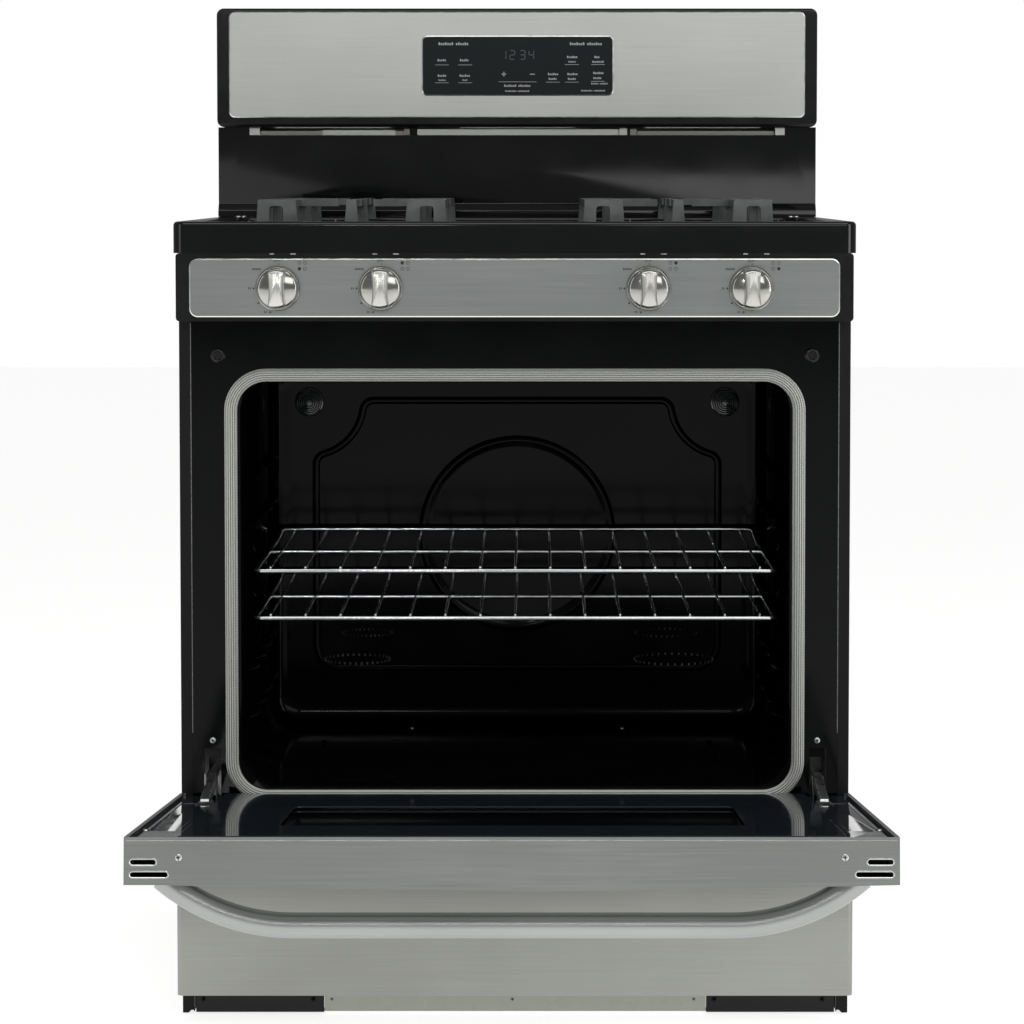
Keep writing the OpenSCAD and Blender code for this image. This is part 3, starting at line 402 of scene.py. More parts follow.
floorMaterial, floorTree, floorShader = startMaterial("paintedStudioFloor", {"Roughness": 0.7})
floorShader.inputs["Base Color"].default_value = linear("#DEDEDC")
floorShader.inputs["Emission Color"].default_value = linear("#FFFFFF")
floorShader.inputs["Emission Strength"].default_value = 0.8
floorMesh = meshFrom("floor", lambda shape: bmesh.ops.create_grid(shape, x_segments=1, y_segments=1, size=14))
floorMesh.materials.append(floorMaterial)
floor = bpy.data.objects.new("floor", floorMesh)
bpy.context.scene.collection.objects.link(floor)

softboxes = [
    # name, place in metres, what it points at, width, height, watts
    ("overhead", (0.2, -1.4, 3.2), (0, 0, 0.6), 3.0, 1.4, 34),
    ("left", (-3.0, -2.0, 1.6), (0, 0, 0.7), 1.0, 2.6, 14),
    ("right", (3.0, -2.0, 1.6), (0, 0, 0.7), 1.2, 2.6, 36),
    ("front", (1.6, -5.2, 2.4), (0, 0, 0.7), 2.6, 1.4, 24),
    ("spark", (-0.5, -4.4, 1.9), (0, 0.4, 0.5), 0.5, 0.16, 7),
]
for name, spot, target, width, height, watts in softboxes:
    lampData = bpy.data.lights.new(name, "AREA")
    lampData.shape = "RECTANGLE"
    lampData.size, lampData.size_y, lampData.energy = width, height, watts
    lamp = bpy.data.objects.new(name, lampData)
    lamp.location = spot
    lamp.rotation_euler = (Vector(target) - Vector(spot)).to_track_quat("-Z", "Y").to_euler()
    bpy.context.scene.collection.objects.link(lamp)

world = bpy.data.worlds.new("studio")
world.use_nodes = True
bpy.context.scene.world = world
tree = world.node_tree
tree.nodes.clear()
seen = addNode(tree, "ShaderNodeLightPath").outputs["Is Camera Ray"]
strength = addNode(tree, "ShaderNodeMapRange", {"Value": seen, "To Min": 0.2, "To Max": 1.0}).outputs["Result"]
background = addNode(tree, "ShaderNodeBackground", {"Color": linear("#FFFFFF"), "Strength": strength})
addNode(tree, "ShaderNodeOutputWorld", {"Surface": background.outputs[0]})
print("camera, floor and lights")


easing = {
    "control_trim": 0.7, "console_trim": 0.7, "display_glass": 0.6, "control_panel": 0.6, "console_shell": 0.7,
    "riser_panel": 0.5, "door_skin": 0.45, "door_liner": 1.4,
    "drawer_box": 0.4, "grates_left": 1.3, "grates_right": 1.3, "kick_rail": 0.4, "kick_brackets": 0.4,
    "side_panels": 0.45, "hinge_receivers": 0.35, "hinge_link_left": 0.8, "hinge_link_right": 0.8,
    "hinge_housings": 0.3, "oven_floor": 0.5, "gas_regulator": 1.5, "levelling_legs": 0.6,
    "cord_gland": 0.8,
}
eased = {node: easedCopy(node, radius) for node, radius in easing.items()}
print("eased parts:", len(eased))


# sweeps a profile along a path drawn on an upright face; u is outwards, v is towards the cook
def sweepOnFace(name, path, profile, faceY, material, body, replaced=(), closed=True):
    shape = bmesh.new()
    along = shape.loops.layers.uv.new("along")
    rings, lengths = [], [0.0]
    for i, point in enumerate(path):
        before = path[i - 1] if i or closed else path[i]
        after = path[(i + 1) % len(path)] if i < len(path) - 1 or closed else path[i]
        tangent = Vector((after[0] - before[0], after[1] - before[1])).normalized()
        side = Vector((tangent.y, -tangent.x))
        rings.append([shape.verts.new(place(point[0] + u * side.x, faceY - v, point[1] + u * side.y))
                      for u, v in profile])
        following = path[(i + 1) % len(path)]
        lengths.append(lengths[-1] + math.dist(point, following))
    around = [i / (len(profile) - 1) for i in range(len(profile) + 1)]
    for i in range(len(path) if closed else len(path) - 1):
        near, far = rings[i], rings[(i + 1) % len(rings)]
        for j in range(len(profile)):
            k = (j + 1) % len(profile)
            face = shape.faces.new((near[j], near[k], far[k], far[j]))
            for loop, corner in zip(face.loops, ((i, j), (i, j + 1), (i + 1, j + 1), (i + 1, j))):
                loop[along].uv = (lengths[corner[0]], around[corner[1]])
    if not closed:
        shape.faces.new(rings[0])
        shape.faces.new(rings[-1])
    bmesh.ops.recalc_face_normals(shape, faces=shape.faces)
    mesh = bpy.data.meshes.new(name)
    shape.to_mesh(mesh)
    shape.free()
    return addPiece(name, mesh, material, body, replaced, 60)


def arcPoints(centre, radius, start, end, steps):
    return [(centre[0] + radius * math.cos(math.radians(start + (end - start) * i / steps)),
             centre[1] + radius * math.sin(math.radians(start + (end - start) * i / steps)))
            for i in range(steps + 1)]


# grows a tree of geometry nodes on a starting mesh and keeps the result as a plain mesh
def grow(name, tree, inputs, startMesh, material, body, replaced=(), smooth=35):
    host = bpy.data.objects.new(name + "Host", startMesh)
    bpy.context.scene.collection.objects.link(host)
    modifier = host.modifiers.new("grow", "NODES")
    modifier.node_group = tree
    for socket in tree.interface.items_tree:
        if socket.in_out == "INPUT" and socket.name in inputs:
            modifier[socket.identifier] = inputs[socket.name]
    evaluated = host.evaluated_get(bpy.context.evaluated_depsgraph_get())
    mesh = bpy.data.meshes.new_from_object(evaluated)
    host.modifiers.clear()
    bpy.data.objects.remove(host)
    mesh.name = name
    return addPiece(name, mesh, material, body, replaced, smooth)


def startTree(name, floats=(), whole=()):
    tree = bpy.data.node_groups.new(name, "GeometryNodeTree")
    tree.interface.new_socket("Geometry", in_out="INPUT", socket_type="NodeSocketGeometry")
    for label in floats:
        tree.interface.new_socket(label, in_out="INPUT", socket_type="NodeSocketFloat")
    for label in whole:
        tree.interface.new_socket(label, in_out="INPUT", socket_type="NodeSocketInt")
    tree.interface.new_socket("Material", in_out="INPUT", socket_type="NodeSocketMaterial")
    tree.interface.new_socket("Geometry", in_out="OUTPUT", socket_type="NodeSocketGeometry")
    return tree, addNode(tree, "NodeGroupInput").outputs


def endTree(tree, geometry, given):
    whole = addNode(tree, "GeometryNodeRealizeInstances", {"Geometry": geometry}).outputs[0]
    inputs = {"Geometry": whole, "Material": given["Material"]}
    painted = addNode(tree, "GeometryNodeSetMaterial", inputs).outputs[0]
    addNode(tree, "NodeGroupOutput", {"Geometry": painted})


# puts a shape on every starting point; with an axis, that axis turns to the way the point faces
def onPoints(tree, points, shape, axis=None):
    inputs = {"Points": points, "Instance": shape}
    if axis:
        normal = addNode(tree, "GeometryNodeInputNormal").outputs[0]
        facing = addNode(tree, "FunctionNodeAlignRotationToVector", {"Vector": normal}, axis=axis)
        inputs["Rotation"] = facing.outputs[0]
    return addNode(tree, "GeometryNodeInstanceOnPoints", inputs).outputs[0]


def pointsMesh(name, points):
    return meshFrom(name, lambda shape: [shape.verts.new(point) for point in points])


top = {
    "halfWidth": 379.5, "front": -48, "back": 618.8, "cornerRadius": 14,
    "rim": 900, "skirt": 865, "edgeRadius": 4.5, "wall": 1.5,
    "wellHalfWidth": 349.5, "wellFront": -22, "wellBack": 489, "wellRadius": 22, "wellDepth": 12,
}


def topOutline(inset, height):
    half, front, back = top["halfWidth"] - inset, top["front"] + inset, top["back"] - inset
    radius = max(top["cornerRadius"] - inset, 1)
    middle = (front + back) / 2
    return [place(x, middle + y, height) for x, y in roundedRect(2 * half, back - front, radius)]


def wellOutline(outset, height):
    half, front, back = top["wellHalfWidth"] + outset, top["wellFront"] - outset, top["wellBack"] + outset
    radius = max(top["wellRadius"] + outset, 1)
    middle = (front + back) / 2
    return [place(x, middle + y, height) for x, y in roundedRect(2 * half, back - front, radius)]


def buildTop(shape):
    rim, edge, depth = top["rim"], top["edgeRadius"], top["wellDepth"]
    rings = [topOutline(top["wall"], top["skirt"]), topOutline(0, top["skirt"])]
    for step in range(7):
        angle = math.radians(15 * step)
        rings.append(topOutline(edge * (1 - math.cos(angle)), rim - edge * (1 - math.sin(angle))))
    for step in range(7):
        angle = math.radians(15 * step)
        rings.append(wellOutline(edge * (1 - math.sin(angle)), rim - edge * (1 - math.cos(angle))))
    for step in range(7):
        angle = math.radians(15 * step)
        rings.append(wellOutline(-6 * (1 - math.cos(angle)), rim - depth + 6 * (1 - math.sin(angle))))
    skinRings(shape, rings, closeEnds=False)
    floorRing = [vert for vert in shape.verts if abs(vert.co.z * 1000 - (rim - depth)) < 0.01]
    bmesh.ops.contextual_create(shape, geom=floorRing)
    bmesh.ops.recalc_face_normals(shape, faces=shape.faces)


addPiece("cookingTop", meshFrom("cookingTop", buildTop), glossEnamel, rootBody, ["cooktop"], 50)


burners = {
    "x": 183.5, "y": (112, 352), "deck": 888, "ports": 36, "radius": 41,
    "radii": {(1, 112): 49, (-1, 352): 34},     # the large front right burner and the small rear left one
    "portWidth": 1.8, "portHeight": 2.6, "portRise": 2.6, "igniterOff": 6.9,
}
eyelets = {"x": 334, "z": 749.5}


# turns a profile of (radius, height) pairs, from one end to the other
def lathe(shape, centre, profile, axis="z", steps=64):
    rings = []
    for radius, height in profile:
        ring = []
        for i in range(steps):
            angle = 2 * math.pi * i / steps
            a, b = radius * math.cos(angle), radius * math.sin(angle)
            spot = (a, b, height) if axis == "z" else (a, -height, b)
            ring.append(place(centre[0] + spot[0], centre[1] + spot[1], centre[2] + spot[2]))
        rings.append(ring)
    skinRings(shape, rings)


def buildCaps(shape):
    for side in (-1, 1):
        for y in burners["y"]:
            r = burners["radii"].get((side, y), burners["radius"])
            lathe(shape, (side * burners["x"], y, burners["deck"] + 5), [
                (r - 1, 0), (r, 0.6), (r, 2.6), (r - 0.5, 3.6), (r - 1.6, 4.1), (r - 4, 4.5), (r - 6, 5.2),
                (r * 0.6, 5.7), (r * 0.3, 5.9), (1, 6)])


def buildHeads(shape):
    for side in (-1, 1):
        for y in burners["y"]:
            r = burners["radii"].get((side, y), burners["radius"]) - 3
            centre = (side * burners["x"], y, burners["deck"])
            lathe(shape, centre, [
                (12, -14), (22, -14), (22, 0), (r - 1.5, 0), (r, 1), (r, 4.4), (r - 1, 5), (8, 5)])
            igniter = (centre[0] - r - burners["igniterOff"], y, burners["deck"])
            lathe(shape, igniter, [(3.4, 0), (3.4, 5.4), (2.6, 6.2), (1, 6.6), (1, 9.4), (0.5, 10)], steps=20)


def buildEyelets(shape):
    for side in (-1, 1):
        lathe(shape, (side * eyelets["x"], 0, eyelets["z"]), [
            (8.2, 0.02), (7.6, 0.5), (6.9, 1.1), (6.2, 1.3), (5.3, 1.2), (4.7, 0.7), (4.5, -0.6), (4.4, -2.5),
            (1, -2.6)], axis="y", steps=40)


addPiece("frameEyelets", meshFrom("frameEyelets", buildEyelets), glossEnamel, rootBody, (), 50)
addPiece("burnerCaps", meshFrom("burnerCaps", buildCaps), ovenEnamel, rootBody, ["burner_caps"], 40)
addPiece("burnerHeads", meshFrom("burnerHeads", buildHeads), alloy, rootBody, ["burner_heads"], 35)


# flame ports: a ring of small black patches round each head, painted shade standing in for the dark slots
def portTree():
    tree, given = startTree("flamePorts", ("Port width", "Port height"), ())
    block = addNode(tree, "ShaderNodeCombineXYZ", {
        "X": 0.0006, "Y": given["Port width"], "Z": given["Port height"]})
    port = addNode(tree, "GeometryNodeMeshCube", {"Size": block.outputs[0]}).outputs["Mesh"]
    endTree(tree, onPoints(tree, given["Geometry"], port, "X"), given)
    return tree


def buildPortRing(shape):
    for side in (-1, 1):
        for y in burners["y"]:
            r = burners["radii"].get((side, y), burners["radius"]) - 3
            count = burners["ports"]
            ring = []
            for i in range(count):
                angle = 2 * math.pi * i / count
                x, rise = side * burners["x"] + r * math.cos(angle), burners["deck"] + burners["portRise"]
                ring.append(shape.verts.new(place(x, y + r * math.sin(angle), rise)))
            low = [shape.verts.new(vert.co - Vector((0, 0, 0.5))) for vert in ring]
            for i in range(count):
                j = (i + 1) % count
                shape.faces.new((low[i], low[j], ring[j], ring[i]))


grow("flamePorts", portTree(), {
    "Port width": burners["portWidth"] / 1000, "Port height": burners["portHeight"] / 1000,
    "Material": darkPrintAndShade}, meshFrom("portRings", buildPortRing), darkPrintAndShade, rootBody)
print("cooking top and burners")


oven = {
    "halfWidth": 312.5, "floor": 257, "height": 463, "cornerRadius": 33, "front": 1.2, "depth": 480,
    "backRadius": 22, "sheet": 1.2, "ribHeight": 3.6, "ribHalfWidth": 5.25, "lampX": 262, "lampZ": 667,
    "notchRadius": 68, "notchFillet": 14, "ribHalf": 253.75, "ribTop": 669, "ribBottom": 330, "ribCorner": 30,
    "bossZ": 500.5, "bossRadius": 124.5,
}
ovenMiddle = oven["floor"] + oven["height"] / 2


def buildOven(shape):
    def ring(y, inset):
        radius = oven["cornerRadius"] - inset * 0.4
        outline = roundedRect(2 * (oven["halfWidth"] - inset), oven["height"] - 2 * inset, radius, 10)
        return [place(x, y, ovenMiddle + z) for x, z in outline]
    rings = [ring(oven["front"], 0)]
    fillet = oven["backRadius"]
    for step in range(8):
        angle = math.radians(90 * step / 7)
        rings.append(ring(oven["depth"] - fillet + fillet * math.sin(angle), fillet * (1 - math.cos(angle))))
    skinRings(shape, rings, closeEnds=False)
    shape.verts.ensure_lookup_table()
    count = len(rings[0])
    shape.faces.new([shape.verts[len(shape.verts) - count + i] for i in range(count)])
    bmesh.ops.recalc_face_normals(shape, faces=shape.faces)
    if max(shape.faces, key=lambda face: face.calc_area()).normal.y > 0:
        bmesh.ops.reverse_faces(shape, faces=shape.faces)


ovenPiece = addPiece("ovenCavity", meshFrom("ovenCavity", buildOven), ovenEnamel, rootBody, ["oven_liner"], 50)
wall = ovenPiece.modifiers.new("sheet", "SOLIDIFY")
wall.thickness = oven["sheet"] / 1000
wall.offset = -1


# half of the rib's line is laid out, then mirrored: a level roof, a notch round the lamp, side, corner and foot
def backRibPath():
    r, fillet = oven["notchRadius"], oven["notchFillet"]
    half, roof, low, corner = oven["ribHalf"], oven["ribTop"], oven["ribBottom"], oven["ribCorner"]
    lamp = Vector((oven["lampX"], oven["lampZ"]))
    rise = lamp.y - (roof - fillet)
    topCentre = Vector((lamp.x - math.sqrt((r + fillet) ** 2 - rise ** 2), roof - fillet))
    run = lamp.x - (half - fillet)
    sideCentre = Vector((half - fillet, lamp.y - math.sqrt((r + fillet) ** 2 - run ** 2)))
    towardsTop = math.degrees(math.atan2(topCentre.y - lamp.y, topCentre.x - lamp.x)) % 360
    towardsSide = math.degrees(math.atan2(sideCentre.y - lamp.y, sideCentre.x - lamp.x)) % 360
    right = [(x, roof) for x in range(0, int(topCentre.x), 12)]
    right += arcPoints(topCentre, fillet, 90, towardsTop - 180, 8)
    right += arcPoints(lamp, r, towardsTop, towardsSide, 14)[1:-1]
    right += arcPoints(sideCentre, fillet, towardsSide - 180, 0, 8)
    right += [(half, z) for z in range(int(sideCentre.y) - 12, int(low + corner), -14)]
    right += arcPoints((half - corner, low + corner), corner, 0, -90, 10)
    right += [(x, low) for x in range(int(half - corner) - 10, 0, -14)]
    return right + [(-x, z) for x, z in reversed(right) if x > 0.5]


w, h = oven["ribHalfWidth"], oven["ribHeight"]
ribProfile = [(-w - 1.6, -0.6), (-w, 0.3), (-w + 0.8, 1.6), (-w + 1.8, h - 0.5), (-w + 3, h), (w - 3, h),
              (w - 1.8, h - 0.5), (w - 0.8, 1.6), (w, 0.3), (w + 1.6, -0.6)]
sweepOnFace("backWallRib", backRibPath(), ribProfile, oven["depth"], ovenEnamel, rootBody)


def buildBoss(shape):
    r = oven["bossRadius"]
    lathe(shape, (0, oven["depth"], oven["bossZ"]), [
        (r + 4, -0.6), (r + 1, 0.3), (r - 1.2, 1.8), (r - 3.4, 2.9), (r - 7, 3.1), (r - 9, 2.6), (r - 12, 1.6),
        (r - 16, 1.3), (2, 1.3)], axis="y", steps=96)


addPiece("backWallBoss", meshFrom("backWallBoss", buildBoss), ovenEnamel, rootBody, (), 60)


def buildLamps(shape):
    for side in (-1, 1):
        profile = [(18.5, -0.5), (18.5, 3), (17.6, 4.2), (16, 4.6)]
        for ridge in range(5):
            r = 15.4 - ridge * 2.6
            rise = 11.5 + ridge * 1.3
            profile += [(r, rise - 1), (r - 0.6, rise + 0.4), (r - 1.5, rise + 0.5), (r - 2.1, rise - 0.3)]
        centre = (side * oven["lampX"], oven["depth"], oven["lampZ"])
        lathe(shape, centre, profile + [(1, 16.5)], axis="y", steps=40)


addPiece("ovenLamps", meshFrom("ovenLamps", buildLamps), lampLens, rootBody, ["oven_lamps"], 30)

guides = {
    "levels": 6, "pitch": 54.4, "lowest": 336.5, "rail": 2.8, "gap": 0.3, "reach": 17.8,
    "bosses": 4, "bossLength": 92, "front": 44, "length": 404, "height": 5.6,
}


# pressed bosses that carry the racks: each row repeats along the wall and the rows repeat up it
def guideTree():
    tree, given = startTree("rackGuides", ("Boss length", "Boss height", "Reach"), ())
    ball = addNode(tree, "GeometryNodeMeshUVSphere", {"Segments": 20, "Rings": 12, "Radius": 1.0}).outputs[0]
    size = addNode(tree, "ShaderNodeCombineXYZ", {
        "X": given["Reach"], "Y": given["Boss length"], "Z": given["Boss height"]}).outputs[0]
    boss = addNode(tree, "GeometryNodeTransform", {"Geometry": ball, "Scale": size}).outputs[0]
    endTree(tree, onPoints(tree, given["Geometry"], boss), given)
    return tree


guideSpots = []
for level in range(guides["levels"]):
    z = guides["lowest"] + level * guides["pitch"] - guides["rail"] - guides["gap"] - guides["height"] / 2
    step = guides["length"] / guides["bosses"]
    for i in range(guides["bosses"]):
        for side in (-1, 1):
            guideSpots.append(place(side * oven["halfWidth"], guides["front"] + step * (i + 0.5), z))
grow("rackGuides", guideTree(), {
    "Boss length": guides["bossLength"] / 2000, "Boss height": guides["height"] / 2000,
    "Reach": guides["reach"] / 1000, "Material": ovenEnamel,
}, pointsMesh("guideSpots", guideSpots), ovenEnamel, rootBody, ["rack_guides"], 60)

gasket = {"width": 14.5, "proud": 8.6, "ribs": 6, "valley": 1.1, "innerRadius": 33, "step": 8}


def gasketProfile():
    width, proud, ribs = gasket["width"], gasket["proud"], gasket["ribs"]
    points = [(-width / 2, 0)]
    count = ribs * 6
    for i in range(count + 1):
        t = i / count
        crown = proud * (1 - abs(2 * t - 1) ** 3.2) ** 0.6
        valley = gasket["valley"] * (0.5 + 0.5 * math.cos(2 * math.pi * t * ribs))
        points.append((-width / 2 + width * t, max(crown - valley, 0.2)))
    return points + [(width / 2, 0)]


gasketPath = [(x, ovenMiddle + z) for x, z in roundedRect(
    2 * oven["halfWidth"] + gasket["width"], oven["height"] + gasket["width"],
    gasket["innerRadius"] + gasket["width"] / 2, 14)]
longPath = []
for i, point in enumerate(gasketPath):
    after = gasketPath[(i + 1) % len(gasketPath)]
    pieces = max(1, int(math.dist(point, after) / gasket["step"]))
    longPath += [(point[0] + (after[0] - point[0]) * k / pieces, point[1] + (after[1] - point[1]) * k / pieces)
                 for k in range(pieces)]
sweepOnFace("ovenGasket", longPath, gasketProfile(), 0, fibreCord, rootBody, ["oven_gasket"])


racks = {
    "halfWidth": 296.7, "front": 55, "depth": 406, "rail": 2.8, "wire": 1.6, "pitch": 40, "count": 15,
    "levels": {"rack_upper": 3, "rack_lower": 2},
}


# wires lie on bent rails: the starting edges are the rails, and a row of points carries the wires
def wireRackTree():
    floats = ("Pitch", "Wire", "Rail", "Length", "First x", "Front y", "Wire z")
    tree, given = startTree("wireRack", floats, ("Count",))

    def output(kind, inputs, **settings):
        return addNode(tree, kind, inputs, **settings).outputs[0]

    wireRound = output("GeometryNodeCurvePrimitiveCircle", {"Resolution": 12, "Radius": given["Wire"]})
    railRound = output("GeometryNodeCurvePrimitiveCircle", {"Resolution": 16, "Radius": given["Rail"]})
    end = output("ShaderNodeCombineXYZ", {"X": 0.0, "Y": given["Length"], "Z": 0.0})
    line = output("GeometryNodeCurvePrimitiveLine", {"Start": (0, 0, 0), "End": end})
    wire = output("GeometryNodeCurveToMesh", {"Curve": line, "Profile Curve": wireRound, "Fill Caps": True})
    tip = output("GeometryNodeMeshUVSphere", {"Segments": 12, "Rings": 8, "Radius": given["Wire"]})
    tipped = addNode(tree, "GeometryNodeJoinGeometry")
    tree.links.new(tip, tipped.inputs[0])
    tree.links.new(wire, tipped.inputs[0])
    start = output("ShaderNodeCombineXYZ", {"X": given["First x"], "Y": given["Front y"], "Z": given["Wire z"]})
    step = output("ShaderNodeCombineXYZ", {"X": given["Pitch"], "Y": 0.0, "Z": 0.0})
    row = output("GeometryNodeMeshLine", {"Count": given["Count"], "Start Location": start, "Offset": step})
    wires = onPoints(tree, row, tipped.outputs[0])
    path = output("GeometryNodeMeshToCurve", {"Mesh": given["Geometry"]})
    bent = output("GeometryNodeFilletCurve", {"Curve": path, "Radius": 0.006, "Count": 6}, mode="POLY")
    rails = output("GeometryNodeCurveToMesh", {"Curve": bent, "Profile Curve": railRound, "Fill Caps": True})
    joined = addNode(tree, "GeometryNodeJoinGeometry")
    tree.links.new(rails, joined.inputs[0])
    tree.links.new(wires, joined.inputs[0])
    endTree(tree, joined.outputs[0], given)
    return tree


rackTree = wireRackTree()
for node, level in racks["levels"].items():
    z = guides["lowest"] + level * guides["pitch"]
    half, front, back = racks["halfWidth"], racks["front"], racks["front"] + racks["depth"]
    wireZ = z + racks["rail"] + racks["wire"] - 0.4
    rearZ = wireZ + racks["wire"] + racks["rail"] - 0.4

    def railLoops(shape):
        outline = [(-half, front, z), (half, front, z), (half, back, z), (half, back, rearZ),
                   (-half, back, rearZ), (-half, back, z)]
        corners = [shape.verts.new(place(*point)) for point in outline]
        for i in range(len(corners)):
            shape.edges.new((corners[i], corners[(i + 1) % len(corners)]))
        crossZ = wireZ - 2 * racks["wire"] + 0.2
        cross = [shape.verts.new(place(side * half, front + racks["depth"] / 2, crossZ)) for side in (-1, 1)]
        shape.edges.new(cross)

    grow(node + "_wires", rackTree, {
        "Pitch": racks["pitch"] / 1000, "Wire": racks["wire"] / 1000, "Rail": racks["rail"] / 1000,
        "Length": (racks["depth"] + 2) / 1000, "First x": -racks["pitch"] * (racks["count"] - 1) / 2000,
        "Front y": (front - 1 + shiftY) / 1000, "Wire z": wireZ / 1000, "Count": racks["count"],
        "Material": chromeWire,
    }, meshFrom(node + "_rails", railLoops), chromeWire, bodyOf(node), [node], 50)
print("oven, gasket and racks")


knobs = {
    "x": (-262.5, -148.5, 148.5, 262.5), "z": 826, "base": -53.1, "radius": 24.5, "length": 27,
    "grip": 19.5, "line": 8, "lineHalfWidth": 0.55, "lineDrop": 7.2,
    # height, share of the grip's width, and how far its ends stop short of the rim
    "gripRings": ((6, 1.05, -2.6), (14, 1.0, -2.9), (21, 0.97, -3.3), (24.8, 0.94, -3.9), (26.4, 0.88, -4.8),
                  (27, 0.8, -6)),
}


def buildKnobBase(x):
    def build(shape):
        r = knobs["radius"]
        lathe(shape, (x, knobs["base"], knobs["z"]), [
            (r - 0.9, 0), (r, 0.9), (r, 2.3), (r - 0.7, 3.1), (r - 1.7, 3.2), (r - 2.1, 3.0), (r - 2.6, 6.4),
            (r - 3.4, 7.6), (r - 4.4, 8.3), (8, 9.6), (1, 9.8)], axis="y", steps=72)
    return build


def buildKnobGrip(x):
    def build(shape):
        rings = []
        for y, width, reach in knobs["gripRings"]:
            half = knobs["grip"] / 2 * width
            tall = knobs["radius"] + reach
            # the sides curve in at the middle and the ends bulge along the rim
            side = [(half * (0.86 + 0.14 * (1 - i / 6) ** 2), 0.9 * tall * (1 - i / 6)) for i in range(13)]
            end = [(half * (1 - i / 4), -tall * (0.9 + 0.1 * (1 - (1 - i / 4) ** 2))) for i in range(1, 8)]
            ring = side + end + [(-a, -b) for a, b in side + end]
            rings.append([place(x + a, knobs["base"] - y, knobs["z"] + b) for a, b in ring])
        skinRings(shape, rings)
    return build


def buildLine(x):
    def build(shape):
        high, half = knobs["z"] + knobs["radius"] - knobs["lineDrop"], knobs["lineHalfWidth"]
        low = high - knobs["line"]
        corners = [(x - half, low), (x + half, low), (x + half, high), (x - half, high)]
        skinRings(shape, [[place(cx, knobs["base"] - knobs["length"] + rise, cz) for cx, cz in corners]
                          for rise in (0.5, 0.02)])
    return build


for i, x in enumerate(knobs["x"]):
    knob, body = f"knob_{i + 1}", bodyOf(f"knob_{i + 1}")
    addPiece(f"knobBase{i + 1}", meshFrom(f"knobBase{i + 1}", buildKnobBase(x)), nickel, body, [knob], 40)
    addPiece(f"knobGrip{i + 1}", meshFrom(f"knobGrip{i + 1}", buildKnobGrip(x)), gripNickel, body, (), 40)
    addPiece(f"knobLine{i + 1}", meshFrom(f"knobLine{i + 1}", buildLine(x)), darkPrintAndShade, body)


def plate(shape, outline, y, thickness):
    near = [place(x, y - thickness, z) for x, z in outline]
    far = [place(x, y, z) for x, z in outline]
    skinRings(shape, [far, near])


def bar(x, z, width, height):
    return [(x - width / 2, z - height / 2), (x + width / 2, z - height / 2),
            (x + width / 2, z + height / 2), (x - width / 2, z + height / 2)]


def disc(x, z, radius, steps=16):
    return [(x + radius * math.cos(2 * math.pi * i / steps), z + radius * math.sin(2 * math.pi * i / steps))
            for i in range(steps)]


# a flat printed ring
def hoop(shape, x, z, radius, line, y, thickness):
    outer, inner = disc(x, z, radius, 24), disc(x, z, radius - line, 24)
    rings = [[place(px, y - d, pz) for px, pz in outline] for outline, d in
             ((outer, 0), (outer, thickness), (inner, thickness), (inner, 0))]
    skinRings(shape, rings, closeEnds=False)


marks = {
    "face": -49.5, "ink": 0.06,
    "dots": ((-26.8, 0), (-21.6, -16.3), (-8.6, -26.4)),
    "grid": (24, 30.2, 21.8, 28.3),     # left, right, low and high of the four rings that show which burner
}


def buildMarks(shape):
    y, t = marks["face"], marks["ink"]
    z = knobs["z"]
    left, right, low, high = marks["grid"]
    for i, x in enumerate(knobs["x"]):
        for dx, dz in marks["dots"]:
            plate(shape, disc(x + dx, z + dz, 1.05), y, t)
        plate(shape, bar(x + 1, z + 27, 0.7, 2), y, t)
        hoop(shape, x - 2.6, z + 30.6, 1.5, 0.55, y, t)
        plate(shape, bar(x + 1.4, z + 30.6, 3.4, 0.8), y, t)
        for k in range(5):
            plate(shape, bar(x - 27.6 + 2 * k, z + 21.4, 1.3, 1.7 if k % 2 else 2.3), y, t)
        for dx in (-32.3, -30.4):
            plate(shape, bar(x + dx, z, 0.8, 2.6), y, t)
        for dx in (-14.8, -12.9):
            plate(shape, bar(x + dx, z - 26.2, 0.8, 2.4), y, t)
        filled = ((left, low), (left, high), (right, high), (right, low))[i]
        for gx in (left, right):
            for gz in (low, high):
                if (gx, gz) == filled:
                    plate(shape, disc(x + gx, z + gz, 1.9, 20), y, t)
                else:
                    hoop(shape, x + gx, z + gz, 1.9, 0.5, y, t)


addPiece("panelMarks", meshFrom("panelMarks", buildMarks), darkPrintAndShade, rootBody)


